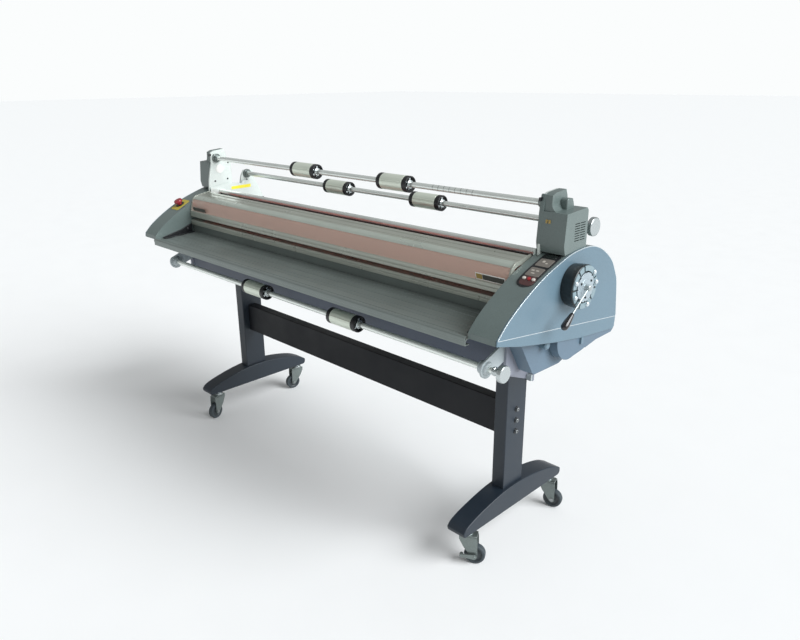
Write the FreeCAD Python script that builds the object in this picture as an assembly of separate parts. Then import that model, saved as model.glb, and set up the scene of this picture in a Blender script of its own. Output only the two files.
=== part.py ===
"""Cold roll laminator on a wheeled stand: one STEP file per sub-part, in millimetres.

Frame: +X towards the control end, +Y towards the exit side, +Z up.  The origin is on the
floor, midway between the two legs.
"""
import FreeCAD, Part
import math
import os

V = FreeCAD.Vector

# ---- driving dimensions -------------------------------------------------------------------
ROLLER_R = 48.0            # both laminating rollers, over the silicone
ROLLER_HALF = 870.0        # half of the roller face
ROLLER_Y = -95.0
LOWER_Z = 882.0            # axis of the driven lower roller
NIP_GAP = 0.3
UPPER_Z = LOWER_Z + 2 * ROLLER_R + NIP_GAP
CORE_R = 40.0
LOWER_JOURNAL_R = 15.0
UPPER_JOURNAL_R = 12.0
RUN = 0.05                 # radial clearance of a running fit

PLATE_IN, PLATE_OUT = 895.0, 903.0      # inner and outer face of each side plate
CASE_IN, CASE_OUT = 889.0, 983.0        # end cabinet, from its inner wall to its open side
COVER_OUT = 989.0                       # outer face of each side cover
WALL = 3.0

CAM_Y, CAM_Z = -28.0, 976.0             # roller lift camshaft, on the selector's axis
CAMSHAFT_R = 7.0
DRUM_R, DRUM_BORE, HUB_R = 66.0, 45.0, 44.0
LIFT = 18.0                             # travel of the upper roller
LIFT_ANGLE = math.radians(120.0)
CAM_BASE = LIFT / LIFT_ANGLE            # an involute on this circle lifts at a constant rate
CAM_START = 1.1                         # involute angle in contact with the nip closed
CAM_GAP = 0.4
BLOCK_IN, BLOCK_OUT = 903.3, 915.3      # bearing blocks and cams, just outside the side plates
SPAN = 887.5                            # half of the sheets and bars between the cabinets

GEAR_MODULE = 3.0
GEAR_TEETH, PINION_TEETH = 40, 16
GEAR_X0, GEAR_X1 = -945.0, -927.0
PINION_DROP = math.radians(25.0)        # direction from the roller axis to the motor axis
CENTRES = GEAR_MODULE * (GEAR_TEETH + PINION_TEETH) / 2
MOTOR_Y = ROLLER_Y + CENTRES * math.cos(PINION_DROP)
MOTOR_Z = LOWER_Z - CENTRES * math.sin(PINION_DROP)
MOTOR_R = 33.0

SHAFT_R = 10.0                          # supply and take-up shafts
UPPER_FRONT = (-38.0, 1202.0)
UPPER_REAR = (119.0, 1119.0)
LOWER_FRONT = (-290.0, 763.0)
CHUCK_R, CHUCK_LEN, CHUCK_RING = 28.5, 148.0, 20.0
CHUCKS = {"upper_front": (-226.0, 275.0), "upper_rear": (-216.0, 283.0), "lower": (-248.0, 280.0)}
IDLER = (-30.0, 1052.0)
IDLER_R = 10.0
HINGE = (-95.0, 1043.0)                 # shield hinge axis, just under the cabinets' top skin

COL_IN, COL_OUT, COL_HALF = 750.0, 800.0, 53.0
COL_BASE, COL_TOP = 205.0, 700.0
BOLT_Z, BOLT_PITCH = 460.0, 41.0        # the three screws that hold the stretcher
BEAM_Z0, BEAM_Z1 = 398.0, 524.0
FOOT_IN, FOOT_OUT = 738.0, 812.0
FOOT_LOW = 133.0
CASTER_X = 776.0
CASTER_Y = (-211.0, 258.0)
STEM_R = 6.0
WHEEL_R, WHEEL_W = 36.0, 24.0
TRAIL = 28.0
CASTERS = {"front_left": (-CASTER_X, CASTER_Y[0], -75.0), "front_right": (CASTER_X, CASTER_Y[0], 30.0),
           "rear_left": (-CASTER_X, CASTER_Y[1], -100.0), "rear_right": (CASTER_X, CASTER_Y[1], 15.0)}

# outline of an end cabinet: the arch from the nose over the top, then the straight edges
ARCH = [(-374, 893), (-342, 925), (-295, 959), (-247, 988), (-184, 1020), (-118, 1045), (-49, 1066),
        (9, 1074), (63, 1074), (110, 1063), (155, 1040), (198, 1006), (226, 963), (241, 925), (256, 814)]
UNDER = [(253, 776), (245, 769), (51, 789), (-90, 812), (-267, 848), (-376, 877)]

# side plate with the tower that carries the upper shafts
PLATE = [(-212, 715), (-212, 905), (-196, 975), (-150, 1020), (-108, 1036), (-87, 1052), (-83, 1104),
         (-65, 1183), (-63, 1228), (-47, 1235), (5, 1240), (14, 1220), (20, 1168), (27, 1082), (81, 1076),
         (90, 1113), (105, 1136), (153, 1134), (160, 1088), (179, 1059), (201, 1001), (214, 950), (235, 815),
         (60, 806), (50, 715)]
KEYS = {"key_forward": 937.0, "key_stop": 953.0, "key_reverse": 968.0}
KEY_Y, KEY_Z = -193.0, 1015.5
KEY_R = 6.5
ESTOP = (-938.0, -216.0, 1004.5)
BAND_TILT = math.radians(27.0)          # slope of the cabinet top where the controls sit

HOUSE_OUT, HOUSE_STEP, HOUSE_WALL = 984.0, 928.0, 2.5
SCOOP_R = 26.0
INLET = (920.0, 960.0, 222.0, 257.0, 785.0, 813.0)

NODES = {}


# ---- helpers --------------------------------------------------------------------------------
def box(x0, x1, y0, y1, z0, z1):
    """A block between two corners."""
    return Part.makeBox(x1 - x0, y1 - y0, z1 - z0, V(x0, y0, z0))


def rod(x0, x1, yz, r):
    """A cylinder along X."""
    return Part.makeCylinder(r, x1 - x0, V(x0, yz[0], yz[1]), V(1, 0, 0))


def ring(x0, x1, yz, r, bore):
    """A tube along X."""
    return rod(x0, x1, yz, r).cut(rod(x0 - 1, x1 + 1, yz, bore))


def plate(points, x0, x1, arch=()):
    """A prism along X of a closed outline; the arch, if given, is one smooth curve before it."""
    edges = []
    corners = [V(x0, y, z) for y, z in points]
    if arch:
        curve = Part.BSplineCurve()
        curve.interpolate([V(x0, y, z) for y, z in arch])
        edges.append(curve.toShape())
        corners = [V(x0, *arch[-1])] + corners + [V(x0, *arch[0])]
    else:
        corners.append(corners[0])
    edges += [Part.LineSegment(a, b).toShape() for a, b in zip(corners, corners[1:])]
    return Part.Face(Part.Wire(edges)).extrude(V(x1 - x0, 0, 0))


def inset(points, depth):
    """The closed outline moved inwards by depth; the outline runs clockwise seen from +X."""
    out = []
    for i, (y, z) in enumerate(points):
        (y0, z0), (y1, z1) = points[i - 1], points[(i + 1) % len(points)]
        a, b = math.atan2(z - z0, y - y0), math.atan2(z1 - z, y1 - y)
        half = math.remainder(b - a, 2 * math.pi) / 2
        mid = a + half
        reach = depth / max(math.cos(half), 0.35)
        out.append((y + reach * math.sin(mid), z - reach * math.cos(mid)))
    return out


def mirrored(shape):
    """The same shape at the other end of the machine."""
    return shape.mirror(V(0, 0, 0), V(1, 0, 0))


def both(shape):
    """A shape and its mirror image, as separate solids."""
    return Part.makeCompound([shape, mirrored(shape)])


def rounded(shape, r, pick):
    """Fillet the edges that pick() accepts."""
    edges = [e for e in shape.Edges if pick(e)]
    return shape.makeFillet(r, edges) if edges else shape


def along_x(edge):
    """True for a straight edge that runs along X."""
    if len(edge.Vertexes) < 2:
        return False
    a, b = edge.Vertexes[0].Point, edge.Vertexes[-1].Point
    return abs(a.x - b.x) > 1 and abs(a.y - b.y) < 1e-6 and abs(a.z - b.z) < 1e-6


def save(name, shape):
    """Keep a node for export; a compound is kept as its separate solids."""
    NODES[name] = shape


# ---- stand ------------------------------------------------------------------------------------
def stand():
    """Arched feet, columns, stretcher, their bolts and the head brackets."""
    top = [(-272, 150), (-250, 169), (-182, 191), (-69, 213), (40, 217), (150, 205), (235, 185), (288, 160)]
    curve = Part.BSplineCurve()
    curve.interpolate([V(FOOT_IN, y, z) for y, z in top])
    low = [(top[-1]), (288, 141), (278, FOOT_LOW), (-262, FOOT_LOW), (-272, 139), top[0]]
    low = [V(FOOT_IN, y, z) for y, z in low]
    edges = [curve.toShape()] + [Part.LineSegment(a, b).toShape() for a, b in zip(low, low[1:])]
    foot = Part.Face(Part.Wire(edges)).extrude(V(FOOT_OUT - FOOT_IN, 0, 0))
    for y in CASTER_Y:
        foot = foot.cut(Part.makeCylinder(STEM_R + RUN, 24, V(CASTER_X, y, FOOT_LOW - 1)))
    column = box(COL_IN, COL_OUT, -COL_HALF, COL_HALF, COL_BASE - 20, COL_TOP)
    column = rounded(column, 3, lambda e: abs(e.Vertexes[0].Z - e.Vertexes[-1].Z) > 100)
    foot = foot.cut(column)
    save("stand_feet", both(foot.removeSplitter()))
    hollow = box(COL_IN + WALL, COL_OUT - WALL, -COL_HALF + WALL, COL_HALF - WALL, COL_BASE - 30, COL_TOP + 1)
    bolts = [V(0, 0, z) for z in (BOLT_Z - BOLT_PITCH, BOLT_Z, BOLT_Z + BOLT_PITCH)]
    column = column.cut(hollow)
    for b in bolts:
        column = column.cut(rod(COL_OUT - 10, COL_OUT + 10, (b.y, b.z), 5))
        column = column.cut(rod(COL_IN - 10, COL_IN + 10, (b.y, b.z), 5))
    save("stand_columns", both(column))
    beam = box(-COL_IN, COL_IN, -22, 22, BEAM_Z0, BEAM_Z1)
    beam = rounded(beam, 3, along_x)
    beam = beam.cut(box(-COL_IN + 8, COL_IN - 8, -22 + WALL, 22 - WALL, BEAM_Z0 + WALL, BEAM_Z1 - WALL))
    for b in bolts:
        for side in (-1, 1):
            beam = beam.cut(rod(side * (COL_IN - 24) - 25, side * (COL_IN - 24) + 25, (b.y, b.z), 4))
    save("stretcher_beam", beam)
    studs = []
    for b in bolts:
        yz = (b.y, b.z)
        studs.append(rod(COL_IN - 30, COL_OUT + 1.5, yz, 4).fuse(rod(COL_OUT, COL_OUT + 1.5, yz, 9))
                     .fuse(hexagon(COL_OUT + 1.5, 5.5, yz, 7)))
    save("stand_bolts", Part.makeCompound(studs + [mirrored(s) for s in studs]))
    front, rear = 635.0, 591.0
    sleeve = plate([(-57, front), (-57, 712), (57, 712), (57, rear)], COL_IN - 4, COL_OUT + 4)
    sleeve = sleeve.cut(box(COL_IN, COL_OUT, -COL_HALF, 60, 500, COL_TOP))
    tab = box(COL_OUT - 4, COL_OUT + 22, 57, 61, rear, rear + 26)
    save("column_heads", both(sleeve.fuse(tab).removeSplitter()))


def hexagon(x0, length, yz, r):
    """A hexagon bolt head along X."""
    pts = [(yz[0] + r * math.cos(math.pi / 3 * i), yz[1] + r * math.sin(math.pi / 3 * i)) for i in range(6)]
    return plate(pts, x0, x0 + length)


# ---- frame and sheet metal ----------------------------------------------------------------------
def frame():
    """Side plates, base beam, aprons, table and guide bar."""
    shape = plate(PLATE, PLATE_IN, PLATE_OUT)
    lo, hi = PLATE_IN - 1, PLATE_OUT + 1
    holes = [((-24, 1152), 18), ((ROLLER_Y, LOWER_Z), 26), ((CAM_Y, CAM_Z), CAMSHAFT_R + RUN), (IDLER, 6 + RUN),
             (HINGE, 4 + RUN), (UPPER_FRONT, SHAFT_R + 1), (UPPER_REAR, SHAFT_R + 1)]
    for yz, r in holes:
        shape = shape.cut(rod(lo, hi, yz, r))
    shape = shape.cut(box(lo, hi, ROLLER_Y - 15.3, ROLLER_Y + 15.3, UPPER_Z - 24, UPPER_Z + 45))
    shape = shape.cut(box(lo, hi, -40, 40, 712, 772))
    left = mirrored(shape).cut(rod(-hi, -lo, (MOTOR_Y, MOTOR_Z), 12))
    save("side_plates", Part.makeCompound([shape, left]))
    beam = box(-PLATE_OUT, PLATE_OUT, -40, 40, 712, 772)
    save("base_beam", beam.cut(box(-PLATE_OUT - 1, PLATE_OUT + 1, -37, 37, 715, 769)))
    apron = box(-SPAN + 1, SPAN - 1, -206, -204, 714, 866).fuse(box(-SPAN + 1, SPAN - 1, -204, -180, 714, 716))
    save("front_apron", apron)
    slope = [(-38, 908), (222, 884), (234, 872), (234, 792), (230, 788), (56, 744), (56, 741), (232, 785),
             (237, 790), (237, 874), (223.5, 886.5), (-38, 911)]
    save("rear_cover", plate(slope, -SPAN, SPAN))
    table = [(-152, 888), (-376, 872), (-381, 868), (-381, 858), (-366, 858), (-366, 855), (-384, 855),
             (-384, 869), (-378, 875), (-152, 891)]
    sheet = plate(table, -SPAN, SPAN)
    for y in (-213, -270, -324):
        z = 891 + (y + 152) * 16 / 226
        sheet = sheet.cut(box(-890, 890, y - 1.5, y + 1.5, z - 1.0, z + 2))
    save("feed_table", sheet)
    bar = plate([(-197, 924), (-197, 944), (-193, 948), (-150, 943), (-134, 939.5), (-134, 937.5),
                 (-150, 938), (-188, 940), (-188, 928), (-180, 928), (-180, 920), (-193, 920)], -SPAN, SPAN)
    save("feed_guide_bar", bar)


# ---- end cabinets and covers ------------------------------------------------------------------
def cabinets():
    """End cabinets, side covers and the covers below them."""
    outline = ARCH + UNDER
    inner = inset(outline, WALL)
    body = plate(UNDER, CASE_IN, CASE_OUT, ARCH)
    body = body.cut(plate(inner[len(ARCH):], CASE_IN + WALL, CASE_OUT + 1, inner[:len(ARCH)]))
    lo, hi = CASE_IN - 1, CASE_IN + WALL + 0.5
    for yz, r in [((CAM_Y, CAM_Z), 12), ((ROLLER_Y, LOWER_Z), 24), (IDLER, 9), (HINGE, 6)]:
        body = body.cut(rod(lo, hi, yz, r))
    body = body.cut(box(lo, hi, ROLLER_Y - 17, ROLLER_Y + 17, UPPER_Z - 17, UPPER_Z + LIFT + 17))
    body = body.cut(plate(inset(PLATE, -0.4), PLATE_IN - 0.4, PLATE_OUT + 0.4))
    right, left = body, mirrored(body)
    right = right.cut(box(929, 976, KEY_Y - 15, KEY_Y + 15, 980, 1060))
    right = right.cut(box(*INLET[:3], INLET[3] + 15, *INLET[4:]))
    left = left.cut(box(-hi, -lo, MOTOR_Y - 34, MOTOR_Y + 34, MOTOR_Z - 34, MOTOR_Z + 34))
    left = left.cut(control_rod(*ESTOP, 17, -60, 40))
    save("right_cabinet", right)
    save("left_cabinet", left)
    cover = plate(UNDER, CASE_OUT, COVER_OUT, ARCH)
    cover = cover.makeFillet(2.0, [e for e in cover.Edges if e.CenterOfMass.x > COVER_OUT - 0.01])
    seam = plate([(-390, 895.7), (270, 810.3), (270, 808.3), (-390, 893.7)], COVER_OUT - 1, COVER_OUT + 1)
    cover = cover.cut(seam)
    save("right_side_cover", cover.cut(rod(980, 1000, (CAM_Y, CAM_Z), 12)))
    save("left_side_cover", mirrored(cover))
    low = [(-222, 836), (-206, 812), (-152, 724), (-140, 715), (-10, 713), (12, 720), (44, 787)]
    skirt = plate(low, PLATE_OUT + 0.5, 953)
    inside = [(-216, 834), (-201, 813), (-149, 727), (-139, 718), (-10, 716), (9, 722), (39, 786)]
    skirt = skirt.cut(plate(inside, PLATE_OUT, 950)).cut(plate(UNDER, 800, 1000, ARCH))
    skirt = max(skirt.Solids, key=lambda s: s.Volume)
    # round gear cover behind the skirt, its face just inside the side cover's
    bulge = rod(953.5, 984, (-5, 804), 70).fuse(plate([(-60, 800), (-5, 734), (66, 743), (150, 760), (150, 800)],
                                                      953.5, 984))
    hollow = rod(953, 981, (-5, 804), 67).fuse(plate([(-60, 800), (-5, 737), (66, 746), (147, 763), (147, 800)],
                                                     953, 981))
    bulge = bulge.cut(hollow).cut(plate(UNDER, 800, 1000, ARCH))
    bulge = max(bulge.Solids, key=lambda s: s.Volume)
    save("lower_covers", Part.makeCompound([skirt, mirrored(skirt), bulge, mirrored(bulge)]))
    low_block = [(-70, 1067), (-77, 1095), (-70, 1184), (34, 1191), (41, 1182), (41, 1076), (-20, 1071)]
    upper = [(-77, 1095), (-65, 1184), (-63, 1229), (-47, 1236), (5, 1241), (13, 1222), (19, 1170), (22, 1120)]
    neck = [(-68, 1150), (-65, 1184), (-64, 1207), (14, 1207), (19, 1150)]
    scoop = Part.makeCylinder(SCOOP_R, 120, V(HOUSE_STEP + SCOOP_R, -90, 1208), V(0, 1, 0))
    lo, hi = PLATE_OUT + 0.5, HOUSE_OUT
    house = plate(low_block, lo, hi).fuse([plate(upper, lo, HOUSE_STEP), plate(neck, lo, HOUSE_STEP + SCOOP_R).cut(scoop)])
    lip = HOUSE_WALL
    house = house.cut(plate(inset(low_block, lip), lo - 1, hi - lip)).cut(plate(inset(upper, lip), lo - 1, HOUSE_STEP - lip))
    for i in range(8):
        z = 1100 + i * 7
        for y in (-26, 3):
            house = house.cut(box(hi - 10, hi + 1, y, y + 26, z, z + 2.6))
    house = house.cut(plate(UNDER, 800, 1000, ARCH))
    save("shaft_housings", both(max(house.Solids, key=lambda s: s.Volume)))


def control_rod(x, y, z, r, z0, z1):
    """A cylinder square to the sloping cabinet top, from z0 to z1 along its normal."""
    n = V(0, -math.sin(BAND_TILT), math.cos(BAND_TILT))
    return Part.makeCylinder(r, z1 - z0, V(x, y, z) + n * z0, n)


def controls():
    """Key panel, keys, emergency stop, selector ring."""
    strip = [p for p in ARCH if -250 < p[0] < -40]
    raised = inset(ARCH + UNDER, -2.5)
    top = [raised[ARCH.index(p)] for p in strip]
    base = inset(ARCH + UNDER, -0.01)
    panel = plate([base[ARCH.index(p)] for p in strip[::-1]], 926, 981, top)
    panel = panel.common(box(926, 981, -224, -60, 900, 1100)).cut(plate(UNDER, 800, 1000, ARCH))
    panel = max(panel.Solids, key=lambda s: s.Volume)
    for x in KEYS.values():
        panel = panel.cut(control_rod(x, KEY_Y, KEY_Z, KEY_R + 0.5, -30, 30))
    save("control_panel", panel)
    for name, x in KEYS.items():
        save(name, control_rod(x, KEY_Y, KEY_Z, KEY_R, -4, 7.2))
    x, y, z = ESTOP
    n = V(0, -math.sin(BAND_TILT), math.cos(BAND_TILT))
    yellow = Part.makeBox(60, 100, 1.5, V(-30, -50, 3.2))
    socket = Part.makeCylinder(15, 46, V(0, 0, -42)).fuse(Part.makeCylinder(19, 2.0, V(0, 0, 3.5)))
    socket = socket.cut(Part.makeCylinder(10.3, 60, V(0, 0, -30)))
    base_plate = yellow.cut(Part.makeCylinder(10.3, 60, V(0, 0, -30)))
    turn = FreeCAD.Placement(V(x, y, z), FreeCAD.Rotation(V(1, 0, 0), math.degrees(BAND_TILT)))
    for shape in (base_plate, socket):
        shape.Placement = turn
    save("estop_base", base_plate.fuse(socket).removeSplitter())
    head = Part.makeCylinder(10, 36, V(0, 0, -20)).fuse(Part.makeCylinder(19, 13, V(0, 0, 14)))
    head = head.fuse(Part.makeCone(13, 19, 4, V(0, 0, 11)))
    head.Placement = turn
    save("estop_button", head.removeSplitter())
    drum = ring(COVER_OUT, 1033, (CAM_Y, CAM_Z), DRUM_R, DRUM_BORE)
    for deg in (-60, -30, 0, 30, 60, 90):
        a = math.radians(deg)
        yz = (CAM_Y + DRUM_R * math.cos(a), CAM_Z + DRUM_R * math.sin(a))
        drum = drum.cut(rod(1015, 1040, yz, 7))
    floor = ring(COVER_OUT, COVER_OUT + 3, (CAM_Y, CAM_Z), DRUM_BORE + 1, CAMSHAFT_R + 2)
    save("selector_ring", drum.fuse(floor).removeSplitter())


def selector():
    """Lift camshaft with its two cams, hub plate and hand lever."""
    shaft = rod(-BLOCK_OUT - 3, 1028, (CAM_Y, CAM_Z), CAMSHAFT_R)
    steps = 24
    first, last = CAM_START - 0.45, CAM_START + LIFT_ANGLE + 0.3
    flank = []
    for i in range(steps + 1):
        t = first + (last - first) * i / steps
        y, z = math.cos(t) + t * math.sin(t), math.sin(t) - t * math.cos(t)
        c, s = math.cos(math.pi - CAM_START), math.sin(math.pi - CAM_START)
        flank.append((CAM_Y + CAM_BASE * (y * c - z * s), CAM_Z + CAM_BASE * (y * s + z * c)))
    cam = plate([(CAM_Y, CAM_Z)], BLOCK_IN, BLOCK_OUT, flank).fuse(rod(BLOCK_IN, BLOCK_OUT, (CAM_Y, CAM_Z), 10))
    save("lift_camshaft", shaft.fuse(cam).fuse(mirrored(cam)).removeSplitter())
    hub = ring(1008, 1036, (CAM_Y, CAM_Z), HUB_R, CAMSHAFT_R)
    for deg in range(0, 360, 60):
        a = math.radians(deg)
        hub = hub.cut(rod(1030, 1040, (CAM_Y + HUB_R * math.cos(a), CAM_Z + HUB_R * math.sin(a)), 4))
    save("selector_hub", hub)
    a = math.radians(180 + 38)
    d = V(0, math.cos(a), math.sin(a))
    c = V(1043, CAM_Y, CAM_Z)
    lever = rod(1036, 1050, (CAM_Y, CAM_Z), 9)
    lever = lever.fuse(Part.makeCylinder(3.2, 100, c, d))
    grip = Part.makeCone(6.5, 11, 44, c + d * 98, d).fuse(Part.makeSphere(11, c + d * 142))
    save("selector_lever", lever.fuse(grip).removeSplitter())


# ---- rollers and drive ------------------------------------------------------------------------
def gear(teeth, x0, x1, yz, phase):
    """An involute spur gear along X; phase turns it, in radians."""
    r_pitch = GEAR_MODULE * teeth / 2
    r_base, r_out, r_root = r_pitch * math.cos(math.radians(20)), r_pitch + 2.7, r_pitch - 3.6
    inv = lambda t: math.tan(t) - t
    half = math.pi / (2 * teeth) - 0.12 / r_pitch
    pts = []
    for i in range(teeth):
        mid = phase + 2 * math.pi * i / teeth
        flank = []
        for k in range(4):
            r = max(r_base, r_root) + (r_out - max(r_base, r_root)) * k / 3
            t = math.acos(min(1.0, r_base / r))
            flank.append((r, half + inv(math.radians(20)) - inv(t)))
        if r_base > r_root + 0.01:
            flank.insert(0, (r_root, flank[0][1]))
        pts += [(r, mid - w) for r, w in flank] + [(r, mid + w) for r, w in reversed(flank)]
    return plate([(yz[0] + r * math.cos(a), yz[1] + r * math.sin(a)) for r, a in pts], x0, x1)


def rollers():
    """Both rollers, their bearings and blocks, the drive."""
    low, up = (ROLLER_Y, LOWER_Z), (ROLLER_Y, UPPER_Z)
    core = rod(-ROLLER_HALF, ROLLER_HALF, low, CORE_R).fuse(rod(GEAR_X0 - 6, PLATE_OUT + 6, low, LOWER_JOURNAL_R))
    save("lower_roller_core", core.removeSplitter())
    save("lower_roller_sleeve", ring(-ROLLER_HALF, ROLLER_HALF, low, ROLLER_R, CORE_R))
    core = rod(-ROLLER_HALF, ROLLER_HALF, up, CORE_R).fuse(rod(-BLOCK_OUT - 1, BLOCK_OUT + 1, up, UPPER_JOURNAL_R))
    save("upper_roller_core", core.removeSplitter())
    save("upper_roller_sleeve", ring(-ROLLER_HALF, ROLLER_HALF, up, ROLLER_R, CORE_R))
    wheel = gear(GEAR_TEETH, GEAR_X0, GEAR_X1, low, 0.0)
    wheel = wheel.fuse(ring(GEAR_X1, GEAR_X1 + 8, low, 22, LOWER_JOURNAL_R)).cut(rod(-960, -890, low, LOWER_JOURNAL_R))
    save("roller_gear", wheel.removeSplitter())
    toward = math.pi - PINION_DROP          # direction from the motor axis to the roller axis
    wheel_phase = PINION_DROP * GEAR_TEETH / PINION_TEETH
    pinion = gear(PINION_TEETH, GEAR_X0, GEAR_X1, (MOTOR_Y, MOTOR_Z),
                  toward + math.pi / PINION_TEETH - wheel_phase)
    spindle = rod(GEAR_X0 - 4, -PLATE_IN + 4, (MOTOR_Y, MOTOR_Z), 6)
    save("motor_pinion", pinion.fuse(spindle).removeSplitter())
    motor = rod(-PLATE_IN + 8, -720, (MOTOR_Y, MOTOR_Z), MOTOR_R)
    motor = motor.fuse(box(-PLATE_IN, -PLATE_IN + 8, MOTOR_Y - 32, MOTOR_Y + 32, MOTOR_Z - 32, MOTOR_Z + 32))
    motor = motor.cut(rod(-PLATE_IN - 1, -PLATE_IN + 10, (MOTOR_Y, MOTOR_Z), 6 + RUN))
    motor = motor.fuse(rod(-720, -714, (MOTOR_Y, MOTOR_Z), 24))
    save("drive_motor", motor.removeSplitter())
    bearing = ring(PLATE_IN - 2, PLATE_OUT + 4, low, 26, LOWER_JOURNAL_R + RUN)
    save("roller_bearings", both(bearing.fuse(ring(PLATE_OUT, PLATE_OUT + 4, low, 32, 25)).removeSplitter()))
    pad = CAM_Z + CAM_BASE * CAM_START + CAM_GAP
    block = box(BLOCK_IN, BLOCK_OUT, ROLLER_Y - 29, ROLLER_Y + 29, UPPER_Z - 30, UPPER_Z + 28)
    block = block.fuse(box(BLOCK_IN, BLOCK_OUT, ROLLER_Y + 29, CAM_Y - CAM_BASE + 6, pad, UPPER_Z + 28))
    block = block.fuse(box(PLATE_IN, BLOCK_IN, ROLLER_Y - 15, ROLLER_Y + 15, UPPER_Z - 22, UPPER_Z + 22))
    block = block.cut(rod(PLATE_IN - 1, BLOCK_OUT + 1, up, UPPER_JOURNAL_R + RUN))
    save("bearing_blocks", both(block.removeSplitter()))


# ---- supply shafts, chucks, idler, shield -------------------------------------------------------
def shafts():
    """The three shafts with their knobs, supports and core chucks."""
    save("upper_front_shaft", rod(-918, 918, UPPER_FRONT, SHAFT_R))
    rear = rod(-912, 941, UPPER_REAR, SHAFT_R).fuse(rod(937, 951, UPPER_REAR, 13)).fuse(rod(951, 967, UPPER_REAR, 29))
    save("upper_rear_shaft", rear.removeSplitter())
    lower = rod(-906, 930, LOWER_FRONT, SHAFT_R).fuse(rod(918, 940, LOWER_FRONT, 14))
    lower = lower.fuse(rod(940, 958, LOWER_FRONT, 26)).fuse(rod(-918, -906, LOWER_FRONT, 17))
    save("lower_shaft", lower.removeSplitter())
    supports = []
    for yz in (UPPER_FRONT, UPPER_REAR):
        supports.append(ring(PLATE_IN - 20, PLATE_IN, yz, 20, SHAFT_R + RUN))
    arm = plate([(-300, 735), (-268, 742), (-190, 770), (-150, 800), (-190, 826), (-214, 822), (-312, 782)],
                PLATE_IN - 7, PLATE_IN)
    arm = arm.fuse(rod(PLATE_IN - 7, PLATE_IN, LOWER_FRONT, 30)).fuse(rod(PLATE_IN - 25, PLATE_IN + 7, LOWER_FRONT, 20))
    arm = arm.cut(rod(850, 920, LOWER_FRONT, SHAFT_R + RUN))
    supports.append(arm.removeSplitter())
    save("shaft_supports", Part.makeCompound(supports + [mirrored(s) for s in supports]))
    axes = {"upper_front": UPPER_FRONT, "upper_rear": UPPER_REAR, "lower": LOWER_FRONT}
    for line, places in CHUCKS.items():
        for tag, x in zip("ab", places):
            x0, x1, yz = x - CHUCK_LEN / 2, x + CHUCK_LEN / 2, axes[line]
            body = ring(x0, x1, yz, CHUCK_R - 5, SHAFT_R + RUN)
            tube = ring(x0 + CHUCK_RING, x1 - CHUCK_RING, yz, CHUCK_R, CHUCK_R - 5)
            caps = [ring(x0, x0 + CHUCK_RING, yz, CHUCK_R, CHUCK_R - 5), ring(x1 - CHUCK_RING, x1, yz, CHUCK_R, CHUCK_R - 5)]
            save("%s_chuck_%s" % (line, tag), Part.makeCompound([body, tube] + caps))
    idler = rod(-SPAN + 1, SPAN - 1, IDLER, IDLER_R).fuse(rod(1 - PLATE_OUT, PLATE_OUT - 1, IDLER, 6))
    save("idler_bar", idler.removeSplitter())


def shield():
    """Clear hinged guard over the nip, with its rail, end caps and hinge pins."""
    half = SPAN - 7.5
    pane = [(-196, 983), (-178, 1038), (-150, 1047), (-96, 1056), (-96, 1052.5), (-151, 1043.5), (-175, 1035.5), (-192, 983)]
    save("shield_window", plate(pane, -half, half))
    rail = plate([(-199, 957), (-199, 981), (-196, 983), (-192, 983), (-188, 980), (-188, 957)], -half - 6, half + 6)
    ends = []
    cap = [(-197, 983), (-180, 1040), (-151, 1049), (-98, 1058), (-88, 1056), (-88, 1035), (-102, 1035), (-148, 1036),
           (-168, 1028), (-186, 983)]
    for side in (-1, 1):
        x0, x1 = sorted((side * half, side * (half + 6)))
        end = plate(cap, x0, x1).cut(rod(x0 - 1, x1 + 1, HINGE, 4))
        pin = rod(*sorted((side * half, side * (PLATE_OUT - 1))), HINGE, 4)
        ends.append(end.fuse(pin).removeSplitter())
    save("shield_rail", Part.makeCompound([rail] + ends))


# ---- electrics ---------------------------------------------------------------------------------
def electrics():
    """Mains inlet module with its supply board, in the right cabinet."""
    board = box(PLATE_OUT + 4, PLATE_OUT + 6, -60, 150, 850, 930)
    can = box(PLATE_OUT + 6, PLATE_OUT + 44, 20, 120, 860, 912)
    save("power_module", Part.makeCompound([board.fuse(can), box(*INLET)]))


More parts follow.
